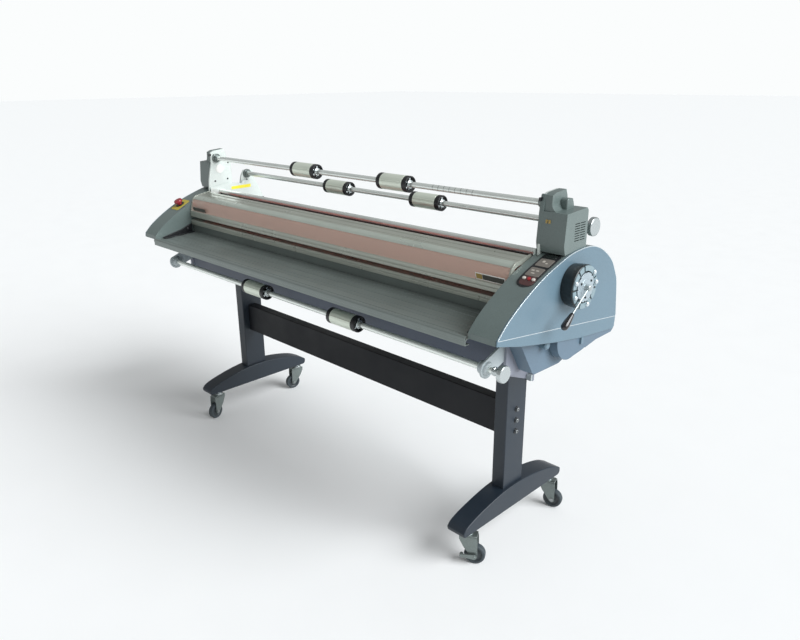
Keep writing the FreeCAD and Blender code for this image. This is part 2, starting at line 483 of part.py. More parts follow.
# ---- casters -----------------------------------------------------------------------------------
def casters():
    """Four swivel casters, the two front ones with a brake lever."""
    for name, (x, y, turn) in CASTERS.items():
        place = FreeCAD.Placement(V(x, y, 0), FreeCAD.Rotation(V(0, 0, 1), turn))
        stem = Part.makeCylinder(STEM_R, 34, V(0, 0, FOOT_LOW - 15)).fuse(Part.makeCylinder(21, 19, V(0, 0, FOOT_LOW - 19.3)))
        crown = box(-22, TRAIL + 10, -19, 19, 84, FOOT_LOW - 19)
        crown = rounded(crown, 10, lambda e: abs(e.Vertexes[0].Z - e.Vertexes[-1].Z) > 5)
        cheek = Part.Face(Part.makePolygon([V(-16, 15, 90), V(TRAIL - 12, 15, 28), V(TRAIL + 10, 15, 28),
                                            V(TRAIL + 10, 15, 90), V(-16, 15, 90)])).extrude(V(0, 4, 0))
        other = cheek.mirror(V(0, 0, 0), V(0, 1, 0))
        axle = Part.makeCylinder(5, 42, V(TRAIL, -21, WHEEL_R), V(0, 1, 0))
        fork = stem.fuse([crown, cheek, other, axle]).removeSplitter()
        wheel = Part.makeCylinder(WHEEL_R, WHEEL_W, V(TRAIL, -WHEEL_W / 2, WHEEL_R), V(0, 1, 0))
        wheel = wheel.makeFillet(3, [e for e in wheel.Edges if len(e.Vertexes) == 1])
        wheel = wheel.cut(Part.makeCylinder(5 + RUN, 60, V(TRAIL, -30, WHEEL_R), V(0, 1, 0)))
        for shape in (fork, wheel):
            shape.Placement = place
        save(name + "_fork", fork)
        save(name + "_wheel", wheel)
        if name.startswith("front"):
            eye = Part.makeCylinder(9, 5, V(TRAIL, -27, WHEEL_R), V(0, 1, 0))
            arm = box(TRAIL - 44, TRAIL, -27, -22, WHEEL_R - 6, WHEEL_R + 6)
            tread = box(TRAIL - 52, TRAIL - 38, -27, -10, WHEEL_R - 5, WHEEL_R + 5)
            lever = eye.fuse([arm, tread]).cut(Part.makeCylinder(3.5, 60, V(TRAIL, -30, WHEEL_R), V(0, 1, 0)))
            lever = lever.removeSplitter()
            lever.Placement = place
            save(name + "_brake", lever)


def main():
    """Build every node and write its STEP file."""
    for make in (stand, frame, cabinets, controls, selector, rollers, shafts, shield, electrics, casters):
        make()
    os.makedirs("parts", exist_ok=True)
    for name, shape in NODES.items():
        for solid in shape.Solids:
            if not solid.isValid() or solid.Volume <= 0:
                print("check", name, solid.isValid(), solid.Volume)
        shape.exportStep("parts/%s.step" % name)
        b = shape.BoundBox
        print("%-22s solids %2d  x %.0f..%.0f y %.0f..%.0f z %.0f..%.0f" % (
            name, len(shape.Solids), b.XMin, b.XMax, b.YMin, b.YMax, b.ZMin, b.ZMax))
    print(len(NODES), "nodes")


main()
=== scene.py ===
"""Cold roll laminator on a wheeled stand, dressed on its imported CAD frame.

Sizes in the classes are millimetres and a finished mesh is in metres.  +X points to the
control end, +Y to the exit side and +Z up.
"""
import logging
import math
from dataclasses import dataclass
from enum import Enum

import bmesh
import bpy
from mathutils import Matrix, Vector


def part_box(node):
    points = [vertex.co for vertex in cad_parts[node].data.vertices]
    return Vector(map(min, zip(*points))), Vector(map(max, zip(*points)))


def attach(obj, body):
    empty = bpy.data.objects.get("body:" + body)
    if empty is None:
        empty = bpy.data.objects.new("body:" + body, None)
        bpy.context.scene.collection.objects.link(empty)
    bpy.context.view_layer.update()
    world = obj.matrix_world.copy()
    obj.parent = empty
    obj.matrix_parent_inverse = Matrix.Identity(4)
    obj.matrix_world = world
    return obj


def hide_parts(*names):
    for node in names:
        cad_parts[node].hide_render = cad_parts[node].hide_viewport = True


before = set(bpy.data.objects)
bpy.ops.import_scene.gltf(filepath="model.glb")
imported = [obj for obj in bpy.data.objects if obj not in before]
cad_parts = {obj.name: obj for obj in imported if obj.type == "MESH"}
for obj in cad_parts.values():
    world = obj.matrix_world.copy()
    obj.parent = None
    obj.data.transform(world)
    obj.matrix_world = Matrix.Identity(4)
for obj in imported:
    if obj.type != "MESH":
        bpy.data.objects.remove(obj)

logging.basicConfig(level=logging.INFO, format="%(message)s")
LOG = logging.getLogger("laminator")
MM = 0.001
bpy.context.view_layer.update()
SHARP = math.radians(32)                # an edge that turns more than this is sharp
X_AXIS, Y_AXIS, Z_AXIS = Vector((1, 0, 0)), Vector((0, 1, 0)), Vector((0, 0, 1))
Pair = tuple[float, float]
Triple = tuple[float, float, float]
Outline = tuple[Pair, ...] | list[Pair]


class Side(Enum):
    """The two ends of the machine."""

    RIGHT = 1
    LEFT = -1

    @property
    def word(self) -> str:
        """The end's name for a piece."""
        return self.name.lower()

    def span(self, inner: float, outer: float) -> Pair:
        """The x range of a part between two distances from the middle."""
        low, high = sorted((self.value * inner, self.value * outer))
        return low, high

    @property
    def flip(self) -> Matrix:
        """The placement that brings a part made for the right end to this one."""
        return Matrix.Scale(self.value, 4, X_AXIS)

    def block(self, inner: float, outer: float, low: Pair, high: Pair) -> "Blank":
        """A block between two distances from the middle and two corners in YZ."""
        x0, x1 = self.span(inner, outer)
        return Blank().block((x0, *low), (x1, *high))


class Grain(Enum):
    """How a surface was made, which sets its small relief."""

    PEEL = "powder coat"
    BRUSHED = "drawn along X"
    MOULDED = "moulded pebble"
    POLISHED = "polished"
    GROUND = "ground rubber"


# ---- finishes ---------------------------------------------------------------------------------
def linear(colour: str) -> tuple[float, float, float, float]:
    """Turn an sRGB hex colour into linear light.

    Args:
        colour: "#RRGGBB".

    Returns:
        Red, green, blue and an alpha of 1.
    """
    parts = [int(colour[i:i + 2], 16) / 255 for i in (1, 3, 5)]
    r, g, b = (p / 12.92 if p <= 0.04045 else ((p + 0.055) / 1.055) ** 2.4 for p in parts)
    return r, g, b, 1.0


def add(tree: bpy.types.NodeTree, kind: str, links: dict | None = None,
        **settings: object) -> bpy.types.Node:
    """Add a node with its settings, values and incoming links.

    Args:
        tree: the material's node tree.
        kind: the node type.
        links: input name or number to a value, or to the output socket that feeds it.
        settings: properties of the node.

    Returns:
        The new node.
    """
    made = tree.nodes.new(kind)
    for name, value in settings.items():
        setattr(made, name, value)
    for key, value in (links or {}).items():
        if isinstance(value, bpy.types.NodeSocket):
            tree.links.new(value, made.inputs[key])
        else:
            made.inputs[key].default_value = value
    return made


COAT_ROUGHNESS = 0.12
CLOUDS_PER_METRE = 5.0        # broad colour and gloss changes, about 200 mm apart
STREAK = 0.0015               # a brushed streak is hundreds of times longer than it is wide


@dataclass(frozen=True)
class Finish:
    """One real surface finish."""

    name: str
    colour: str
    roughness: float
    grain: Grain
    metallic: float = 0.0
    relief: float = 0.15          # bump strength
    grain_mm: float = 2.0         # size of the relief
    shade: float = 0.12           # how far the colour wanders
    coat: float = 0.0
    transmission: float = 0.0
    ior: float = 1.5

    def material(self) -> bpy.types.Material:
        """Build the procedural material, or find it if it is already there.

        Returns:
            The material.
        """
        known = bpy.data.materials.get(self.name)
        if known:
            return known
        made = bpy.data.materials.new(self.name)
        made.use_nodes = True
        tree = made.node_tree
        shader = tree.nodes["Principled BSDF"]
        shader.inputs["Metallic"].default_value = self.metallic
        shader.inputs["Coat Weight"].default_value = self.coat
        shader.inputs["Coat Roughness"].default_value = COAT_ROUGHNESS
        shader.inputs["Transmission Weight"].default_value = self.transmission
        if not self.metallic:
            shader.inputs["IOR"].default_value = self.ior
        if self.transmission:
            self.clear(tree, shader)
        else:
            self.paint(tree, shader, add(tree, "ShaderNodeTexCoord").outputs["Object"])
        return made

    def clear(self, tree: bpy.types.NodeTree, shader: bpy.types.Node) -> None:
        """Make a thin clear sheet, which lets light through and mirrors the room at its surface.

        Args:
            tree: the material's node tree.
            shader: the principled shader, which gives the sheet a faint body in the finish's colour; on the acrylic
                this is a painted peach haze of light over the roller behind it.
        """
        shader.inputs["Base Color"].default_value = linear(self.colour)
        shader.inputs["Roughness"].default_value = self.roughness
        shader.inputs["Transmission Weight"].default_value = 0.0
        white = (1.0, 1.0, 1.0, 1.0)
        through = add(tree, "ShaderNodeBsdfTransparent", {"Color": white})
        # The body mix lays the painted peach haze over the see-through part, in the share that the sheet does not
        # transmit.
        body = add(tree, "ShaderNodeMixShader", {0: 1.0 - self.transmission, 1: through.outputs[0],
                                                 2: shader.outputs[0]})
        mirror = add(tree, "ShaderNodeBsdfAnisotropic", {"Color": white, "Roughness": self.roughness})
        gloss = add(tree, "ShaderNodeFresnel", {"IOR": self.ior})
        inside = add(tree, "ShaderNodeNewGeometry").outputs["Backfacing"]
        front = add(tree, "ShaderNodeMath", {0: 1.0, 1: inside}, operation="SUBTRACT")
        share = add(tree, "ShaderNodeMath", {0: gloss.outputs[0], 1: front.outputs[0]}, operation="MULTIPLY")
        whole = add(tree, "ShaderNodeMixShader", {0: share.outputs[0], 1: body.outputs[0],
                                                  2: mirror.outputs[0]})
        tree.links.new(whole.outputs[0], tree.nodes["Material Output"].inputs["Surface"])

    def stretched(self, tree: bpy.types.NodeTree, place: bpy.types.NodeSocket) -> bpy.types.NodeSocket:
        """Give the coordinates that the relief follows.

        Args:
            tree: the material's node tree.
            place: the object's coordinates.

        Returns:
            The coordinates, drawn out along X for a brushed finish.
        """
        if self.grain is not Grain.BRUSHED:
            return place
        return add(tree, "ShaderNodeMapping", {"Vector": place, "Scale": (STREAK, 1.0, 1.0)}).outputs[0]

    def paint(self, tree: bpy.types.NodeTree, shader: bpy.types.Node,
              place: bpy.types.NodeSocket) -> None:
        """Drive colour, roughness and relief from noise at the finish's own scale.

        Args:
            tree: the material's node tree.
            shader: the principled shader.
            place: the object's coordinates.
        """
        along = self.stretched(tree, place)
        fine = add(tree, "ShaderNodeTexNoise", {"Vector": along, "Scale": 1 / (self.grain_mm * MM),
                                                "Detail": 3.0})
        broad = add(tree, "ShaderNodeTexNoise", {"Vector": place, "Scale": CLOUDS_PER_METRE, "Detail": 4.0,
                                                 "Roughness": 0.6})
        mixed = add(tree, "ShaderNodeMath", {0: fine.outputs[0], 1: broad.outputs[0]}, operation="ADD")
        spread = add(tree, "ShaderNodeMapRange", {0: mixed.outputs[0], 1: 0.7, 2: 1.3, 3: 0.0, 4: 1.0})
        deep = tuple(c * (1 - self.shade) for c in linear(self.colour)[:3]) + (1.0,)
        pale = tuple(min(1.0, c * (1 + self.shade)) for c in linear(self.colour)[:3]) + (1.0,)
        tone = add(tree, "ShaderNodeMix", {0: spread.outputs[0], 6: deep, 7: pale}, data_type="RGBA")
        tree.links.new(self.marked(tree, place, tone.outputs[2]), shader.inputs["Base Color"])
        rough = add(tree, "ShaderNodeMapRange", {0: broad.outputs[0], 1: 0.3, 2: 0.7,
                                                 3: self.roughness * 0.82, 4: min(1.0, self.roughness * 1.2)})
        tree.links.new(rough.outputs[0], shader.inputs["Roughness"])
        if self.relief:
            relief = add(tree, "ShaderNodeBump", {"Strength": self.relief, "Distance": 0.1 * self.grain_mm * MM,
                                                  "Height": fine.outputs[0]})
            tree.links.new(relief.outputs[0], shader.inputs["Normal"])

    def marked(self, tree: bpy.types.NodeTree, place: bpy.types.NodeSocket,
               tone: bpy.types.NodeSocket) -> bpy.types.NodeSocket:
        """Leave the colour as it is; a finish with printed marks overrides this."""
        return tone


@dataclass(frozen=True)
class RuledFinish(Finish):
    """A finish with fine cross marks over part of its length, as on a measuring shaft."""

    start: float = 440.0
    stop: float = 640.0
    pitch: float = 12.0
    stroke: float = 0.9
    ink: str = "#6E7472"

    def marked(self, tree: bpy.types.NodeTree, place: bpy.types.NodeSocket,
               tone: bpy.types.NodeSocket) -> bpy.types.NodeSocket:
        """Print the marks over the colour.

        Args:
            tree: the material's node tree.
            place: the object's coordinates.
            tone: the colour so far.

        Returns:
            The colour with its marks.
        """
        x = add(tree, "ShaderNodeSeparateXYZ", {0: place}).outputs[0]
        beat = add(tree, "ShaderNodeMath", {0: x, 1: self.pitch * MM}, operation="PINGPONG")
        line = add(tree, "ShaderNodeMath", {0: beat.outputs[0], 1: self.stroke * MM}, operation="LESS_THAN")
        late = add(tree, "ShaderNodeMath", {0: x, 1: self.start * MM}, operation="GREATER_THAN")
        early = add(tree, "ShaderNodeMath", {0: x, 1: self.stop * MM}, operation="LESS_THAN")
        zone = add(tree, "ShaderNodeMath", {0: late.outputs[0], 1: early.outputs[0]}, operation="MULTIPLY")
        mark = add(tree, "ShaderNodeMath", {0: zone.outputs[0], 1: line.outputs[0]}, operation="MULTIPLY")
        return add(tree, "ShaderNodeMix", {0: mark.outputs[0], 6: tone, 7: linear(self.ink)},
                   data_type="RGBA").outputs[2]


# Powder coat and enamel on sheet steel: satin, with a faint orange peel that breaks up the highlights.  Its
# real cell is about 1 mm and is drawn at 3 mm to show.
STAND_BLACK = Finish("satin_black_powder_coat", "#202A34", 0.42, Grain.PEEL, grain_mm=3.0, relief=0.25)
BEAM_BLACK = Finish("matt_black_powder_coat", "#13161B", 0.5, Grain.PEEL, ior=1.36, grain_mm=3.0, relief=0.25)
HEAD_GREY = Finish("lilac_grey_powder_coat", "#8B8F9B", 0.5, Grain.PEEL, grain_mm=3.0)
CASE_DARK = Finish("olive_grey_hammered_enamel", "#64716F", 0.36, Grain.PEEL, grain_mm=3.0, relief=0.3, coat=0.15)
COVER_BLUE = Finish("blue_grey_satin_enamel", "#617987", 0.4, Grain.PEEL, grain_mm=3.0, relief=0.2, coat=0.1,
                    shade=0.07)
SKIRT_SLATE = Finish("slate_powder_coat", "#5C7080", 0.42, Grain.PEEL, grain_mm=3.0, relief=0.25)
APRON_SLATE = Finish("slate_coated_sheet", "#3F495A", 0.4, Grain.PEEL, grain_mm=3.0)
SEGMENT_GREY = Finish("grey_ring_segment", "#7F939A", 0.35, Grain.PEEL, grain_mm=2.0)
PLATE_YELLOW = Finish("yellow_enamelled_plate", "#B9A93F", 0.42, Grain.PEEL, relief=0.1)
MOTOR_BLACK = Finish("black_motor_enamel", "#1B1C1E", 0.4, Grain.PEEL)
# Passivated zinc on steel: pale, with cloudy patches some millimetres wide and a soft metal sheen.
TOWER_WHITE = Finish("pale_zinc_passivated_plate", "#D3DBD7", 0.38, Grain.PEEL, metallic=0.25, grain_mm=6.0,
                     shade=0.05)
ARM_GREY = Finish("grey_passivated_bracket", "#B6C0C3", 0.4, Grain.PEEL, metallic=0.3, grain_mm=5.0, shade=0.08)
ZINC = Finish("zinc_plated_pressing", "#7D8684", 0.34, Grain.PEEL, metallic=0.7, grain_mm=5.0, relief=0.1,
              shade=0.15)
# Anodised sheet and extrusions: streaks along X, which draw the highlights out into bands.
TABLE_ALUMINIUM = Finish("anodised_table_sheet", "#7D8683", 0.36, Grain.BRUSHED, metallic=0.4, relief=0.0,
                         grain_mm=6.0, shade=0.1)
RAIL_ALUMINIUM = Finish("clear_anodised_extrusion", "#AAAEA4", 0.30, Grain.BRUSHED, metallic=0.45, relief=0.0,
                        grain_mm=3.0, shade=0.06)
SEAL_GREY = Finish("dark_table_upstand", "#727B78", 0.42, Grain.BRUSHED, metallic=0.2, relief=0.0)
# A pale strip that lies on the bend of the pane: a painted reflection of the bright sky on the curved acrylic.
SKY_REFLECTION_STRIP = Finish("painted_sky_reflection_strip", "#B2BAB1", 0.3, Grain.BRUSHED, metallic=0.3, relief=0.0, grain_mm=4.0,
                  shade=0.1)
CHUCK_SLEEVE = Finish("satin_aluminium_sleeve", "#E2EADC", 0.32, Grain.BRUSHED, metallic=0.5, grain_mm=1.5,
                      shade=0.08)
# Polished and turned parts: a clear, slightly soft mirror of the room, without relief.
# The same bright trim is laid on the side covers as painted highlights: pale strips along the rolled rim and the
# joint line, where light catches those edges.
TRIM_SILVER_AND_EDGE_HIGHLIGHT = Finish("polished_trim_and_painted_edge_highlight", "#D3DCE0", 0.22, Grain.POLISHED, metallic=0.6, relief=0.0,
                     shade=0.03)
NICKEL = Finish("satin_nickel_turning", "#C4CBCC", 0.24, Grain.POLISHED, metallic=0.9, relief=0.05, grain_mm=1.0,
                shade=0.05)
LEVER_STEEL = Finish("satin_lever_steel", "#A9B1B2", 0.3, Grain.POLISHED, metallic=0.7, relief=0.0)
HUB_POLISHED = Finish("turned_hub_plate", "#A7B4BB", 0.34, Grain.POLISHED, metallic=0.5, relief=0.0, grain_mm=3.0,
                      shade=0.15)
# Hard chrome on steel tube: bright, with faint handling marks and, on one shaft, fine rules.
CHROME = Finish("hard_chrome", "#EEF4F0", 0.2, Grain.POLISHED, metallic=0.65, relief=0.0, shade=0.06)
CHROME_RULED = RuledFinish("hard_chrome_with_marks", "#EEF4F0", 0.2, Grain.POLISHED, metallic=0.65, relief=0.0,
                           shade=0.06)
# Bare steel: drawn bar with its draw lines, blackened screws, and gear teeth under a film of oil.
STEEL = Finish("bright_drawn_steel", "#9B9FA0", 0.3, Grain.BRUSHED, metallic=1.0, grain_mm=1.5, shade=0.15)
DARK_STEEL = Finish("blackened_steel", "#3E4443", 0.4, Grain.PEEL, metallic=0.6, grain_mm=2.0)
GEAR_STEEL = Finish("oiled_gear_steel", "#7C7F80", 0.32, Grain.POLISHED, metallic=1.0, relief=0.1, shade=0.2)
# Ground silicone rubber: soft sheen, with the slightest grinding texture.
SILICONE = Finish("red_silicone_rubber", "#B85A50", 0.34, Grain.GROUND, grain_mm=2.5, relief=0.08, coat=0.25,
                  shade=0.1)
# Cast acrylic: clear, with sharp reflections; its peach body is a painted haze of light, standing in for the pale
# glow over the red roller seen through the pane.
ACRYLIC = Finish("clear_acrylic_with_painted_peach_haze", "#F3D3C2", 0.04, Grain.POLISHED, transmission=0.6, ior=1.49)
# Moulded ABS, nylon and phenolic: dull, with a fine pebble from the mould; the grip and the stop shine more.
ABS_BLACK = Finish("black_moulded_abs", "#15171A", 0.36, Grain.MOULDED, grain_mm=1.5, relief=0.12)
RING_DARK = Finish("black_green_cast_ring", "#10181A", 0.34, Grain.MOULDED, grain_mm=2.0, coat=0.2)
HUB_GREY = Finish("dark_nylon_hub", "#353C40", 0.45, Grain.MOULDED, grain_mm=2.0)
GRIP_BLACK = Finish("black_phenolic_grip", "#0D0D10", 0.2, Grain.POLISHED, relief=0.0, coat=0.6)
KEY_BASE = Finish("oxblood_key_bed", "#4E3130", 0.4, Grain.MOULDED, grain_mm=1.5)
KEY_WHITE = Finish("white_moulded_key", "#C9C5BD", 0.35, Grain.MOULDED, relief=0.05, shade=0.04)
KEY_RED = Finish("red_moulded_key", "#A12A2E", 0.32, Grain.MOULDED, relief=0.05, shade=0.06)
STOP_RED = Finish("red_moulded_mushroom", "#8F1E2B", 0.28, Grain.MOULDED, relief=0.05, coat=0.3)
# Embossed membrane: matt, slightly uneven.
PAD_TAUPE = Finish("taupe_membrane_pad", "#716C66", 0.5, Grain.MOULDED, grain_mm=1.5)
PAD_MARK = Finish("pale_membrane_mark", "#B3AEA4", 0.5, Grain.MOULDED, relief=0.0)
# Smoked window and lacquered circuit board: dark and glassy.
DISPLAY = Finish("smoked_display_window", "#0B1110", 0.08, Grain.POLISHED, relief=0.0, coat=0.8)
BOARD_GREEN = Finish("green_solder_mask", "#1E5A36", 0.3, Grain.POLISHED, relief=0.05)
# Printed film and paint: flat, even colour with a slight wander in the ink.
STRIPE_RED = Finish("red_painted_stripe", "#A3322D", 0.35, Grain.POLISHED, metallic=0.3, relief=0.0)
TAPE_YELLOW = Finish("yellow_printed_film", "#F2E33C", 0.45, Grain.POLISHED, relief=0.0, shade=0.06)
LABEL_WHITE = Finish("white_printed_film", "#E9EAE6", 0.4, Grain.POLISHED, relief=0.0, shade=0.03)
LABEL_DARK = Finish("dark_printed_film", "#4A4A44", 0.4, Grain.POLISHED, relief=0.0, shade=0.1)
LABEL_GOLD = Finish("gold_printed_film", "#A58C4C", 0.4, Grain.POLISHED, relief=0.0, shade=0.15)
# Thermoplastic tread: dull, scuffed grey.
TREAD_GREY = Finish("grey_thermoplastic_tread", "#3B4449", 0.6, Grain.MOULDED, grain_mm=3.0, relief=0.2,
                    shade=0.15)
# Painted studio floor: flat and even, so that only the shadow shows.
FLOOR_PALE = Finish("pale_studio_floor", "#F3F4F4", 0.9, Grain.MOULDED, relief=0.0, shade=0.0)


# ---- shape helpers ------------------------------------------------------------------------------
def box_mm(node: str) -> tuple[Vector, Vector]:
    """A CAD node's lowest and highest corner in millimetres."""
    low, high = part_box(node)
    return low / MM, high / MM


def curve_through(points: Outline, steps: int = 6) -> list[Pair]:
    """Run a smooth curve through points.

    Args:
        points: the points, in order.
        steps: points on the curve from each one to the next.

    Returns:
        The points of the curve.
    """
    first, last = points[0], points[-1]
    ends = [(2 * first[0] - points[1][0], 2 * first[1] - points[1][1]), *points,
            (2 * last[0] - points[-2][0], 2 * last[1] - points[-2][1])]
    out: list[Pair] = []
    for a, b, c, d in zip(ends, ends[1:], ends[2:], ends[3:]):
        for t in (i / steps for i in range(steps)):
            out.append(tuple(0.5 * (2 * b[k] + (c[k] - a[k]) * t
                                    + (2 * a[k] - 5 * b[k] + 4 * c[k] - d[k]) * t * t
                                    + (3 * b[k] - a[k] - 3 * c[k] + d[k]) * t ** 3) for k in (0, 1)))
    return out + [last]


def polar(centre: Pair, radius: float, degrees: float) -> Pair:
    """The point at a radius and an angle, from +Y towards +Z, about a centre."""
    a = math.radians(degrees)
    return centre[0] + radius * math.cos(a), centre[1] + radius * math.sin(a)


def arc(centre: Pair, radius: float, start: float, stop: float, steps: int = 12) -> list[Pair]:
    """Points on an arc in the YZ plane.

    Args:
        centre: its centre.
        radius: its radius.
        start: first angle in degrees, from +Y towards +Z.
        stop: last angle in degrees.
        steps: number of parts.

    Returns:
        The points in order.
    """
    return [polar(centre, radius, start + (stop - start) * i / steps) for i in range(steps + 1)]


def spun(degrees: float, axis: str) -> Matrix:
    """A placement that turns about one of the axes."""
    return Matrix.Rotation(math.radians(degrees), 4, axis)


def aimed(origin: Triple, direction: Vector) -> Matrix:
    """A placement that turns +X towards a direction and moves the origin."""
    return Matrix.Translation(origin) @ X_AXIS.rotation_difference(direction).to_matrix().to_4x4()


class Blank:
    """A mesh in the making, in millimetres.

    Each method that adds a shape returns the blank, so that the next can follow on.
    """

    def __init__(self) -> None:
        """Start with nothing."""
        self.mesh = bmesh.new()

    @classmethod
    def of_node(cls, node: str, side: Side | None = None) -> "Blank":
        """Start from a copy of a CAD node.

        Args:
            node: the node's name.
            side: the end to keep, or None for both.

        Returns:
            The merged copy with its flat faces joined up.
        """
        blank = cls()
        mesh = blank.mesh
        mesh.from_mesh(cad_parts[node].data)
        bmesh.ops.scale(mesh, vec=(1 / MM,) * 3, verts=mesh.verts)
        if side:
            bmesh.ops.delete(mesh, geom=[v for v in mesh.verts if v.co.x * side.value < 0], context="VERTS")
        bmesh.ops.remove_doubles(mesh, verts=mesh.verts, dist=0.01)
        bmesh.ops.dissolve_limit(mesh, angle_limit=math.radians(0.6), verts=mesh.verts, edges=mesh.edges)
        return blank

    def placed(self, before: set, place: Matrix | None) -> "Blank":
        """Move what was added since.

        Args:
            before: the vertices there were.
            place: the placement, or None to leave it.

        Returns:
            The blank.
        """
        if place is not None:
            fresh = [v for v in self.mesh.verts if v not in before]
            bmesh.ops.transform(self.mesh, matrix=place, verts=fresh)
        return self

    def grown(self, faces: list, by: Triple) -> None:
        """Extrude faces and move the far end."""
        made = bmesh.ops.extrude_face_region(self.mesh, geom=faces)["geom"]
        bmesh.ops.translate(self.mesh, verts=[g for g in made if isinstance(g, bmesh.types.BMVert)], vec=by)

    def prism(self, outline: Outline, x0: float, x1: float, place: Matrix | None = None) -> "Blank":
        """Extrude a closed YZ outline along X.

        Args:
            outline: its corners in order.
            x0: where it starts.
            x1: where it ends.
            place: a placement for it.

        Returns:
            The blank.
        """
        before = set(self.mesh.verts)
        corners = [self.mesh.verts.new((x0, y, z)) for y, z in outline]
        edges = [self.mesh.edges.new(pair) for pair in zip(corners, corners[1:] + corners[:1])]
        self.grown(bmesh.ops.edgeloop_fill(self.mesh, edges=edges)["faces"], (x1 - x0, 0.0, 0.0))
        return self.placed(before, place)

    def turned(self, profile: Outline, centre: Pair = (0.0, 0.0), steps: int = 56,
               place: Matrix | None = None) -> "Blank":
        """Spin a profile of (x, radius) about an axis along X.

        Args:
            profile: open from axis to axis, or the closed section of a ring.
            centre: the axis, as (y, z).
            steps: parts of the full turn.
            place: a placement for it.

        Returns:
            The blank.
        """
        before = set(self.mesh.verts)
        y, z = centre
        ring = [self.mesh.verts.new((x, y, z + r)) for x, r in profile]
        edges = [self.mesh.edges.new(pair) for pair in zip(ring, ring[1:])]
        if profile[0][1] > 0:
            edges.append(self.mesh.edges.new((ring[-1], ring[0])))
        bmesh.ops.spin(self.mesh, geom=ring + edges, cent=(0.0, y, z), axis=(1.0, 0.0, 0.0),
                       dvec=(0.0, 0.0, 0.0), angle=2 * math.pi, steps=steps, use_merge=True)
        fresh = [v for v in self.mesh.verts if v not in before]
        bmesh.ops.remove_doubles(self.mesh, verts=fresh, dist=0.001)
        return self.placed(before, place)

    def rod(self, x0: float, x1: float, centre: Pair, radius: float, steps: int = 48) -> "Blank":
        """Add a round bar along X, with its axis at (y, z)."""
        return self.turned([(x0, 0.0), (x0, radius), (x1, radius), (x1, 0.0)], centre, steps)

    def block(self, low: Triple, high: Triple, place: Matrix | None = None) -> "Blank":
        """Add a block between two corners.

        Args:
            low: the lowest corner.
            high: the highest corner.
            place: a placement for it.

        Returns:
            The blank.
        """
        before = set(self.mesh.verts)
        size = [h - l for l, h in zip(low, high)]
        middle = [(h + l) / 2 for l, h in zip(low, high)]
        bmesh.ops.create_cube(self.mesh, size=1.0,
                              matrix=Matrix.Translation(middle) @ Matrix.Diagonal((*size, 1.0)))
        return self.placed(before, place)

    def patch(self, middle: Pair, size: Pair, corner: float, height: "Arch", lift: float, thick: float,
              cells: int = 14) -> "Blank":
        """Add a plate with rounded corners that follows the cabinet top.

        Args:
            middle: its middle, as (x, y).
            size: its width along X and length along Y.
            corner: the radius of its corners.
            height: the surface it lies on.
            lift: how far its top stands above the surface.
            thick: its thickness.
            cells: grid cells each way.

        Returns:
            The blank.
        """
        before = set(self.mesh.verts)
        bmesh.ops.create_grid(self.mesh, x_segments=cells, y_segments=cells * 2, size=0.5)
        fresh = {v for v in self.mesh.verts if v not in before}
        for v in fresh:
            reach = abs(v.co.y) * size[1] - (size[1] / 2 - corner)
            pull = corner - math.sqrt(max(0.0, corner ** 2 - max(0.0, reach) ** 2))
            v.co.x = middle[0] + v.co.x * 2 * (size[0] / 2 - min(pull, size[0] / 2 - 0.5))
            v.co.y = middle[1] + v.co.y * size[1]
            v.co.z = height.at(v.co.y) + lift
        self.grown([f for f in self.mesh.faces if fresh.issuperset(f.verts)], (0.0, 0.0, -thick))
        return self


def piece(name: str, blank: Blank, finish: Finish, body: str, replaces: tuple[str, ...] = (),
          edge: float = 0.8, steps: int = 2) -> None:
    """Finish a blank as a piece that rides on a CAD body.

    Args:
        name: the piece's name.
        blank: its mesh, which is used up.
        finish: its surface.
        body: the body it rides on.
        replaces: the CAD nodes it stands for.
        edge: radius of its sharp edges, or 0 to leave them.
        steps: parts of that radius.
    """
    mesh = blank.mesh
    bmesh.ops.remove_doubles(mesh, verts=mesh.verts, dist=0.001)
    bmesh.ops.recalc_face_normals(mesh, faces=mesh.faces)
    bmesh.ops.scale(mesh, vec=(MM,) * 3, verts=mesh.verts)
    for face in mesh.faces:
        face.smooth = True
    data = bpy.data.meshes.new(name)
    mesh.to_mesh(data)
    mesh.free()
    data.materials.append(finish.material())
    made = bpy.data.objects.new(name, data)
    bpy.context.scene.collection.objects.link(made)
    if edge:
        soft = made.modifiers.new("soft_edges", "BEVEL")
        soft.width, soft.segments, soft.limit_method = edge * MM, steps, "ANGLE"
        soft.angle_limit, soft.use_clamp_overlap = SHARP, True
    else:
        data.set_sharp_from_angle(angle=SHARP)
    even = made.modifiers.new("even_shading", "WEIGHTED_NORMAL")
    even.keep_sharp = not edge
    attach(made, body)
    if replaces:
        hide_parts(*replaces)
    LOG.info("%-28s on %-18s %6d faces", name, body, len(data.polygons))


def dress_node(node: str, finish: Finish) -> None:
    """Give a CAD node that stays a better material."""
    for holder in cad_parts[node].material_slots:
        holder.material = finish.material()
    LOG.info("%-28s keeps its CAD shape", node)


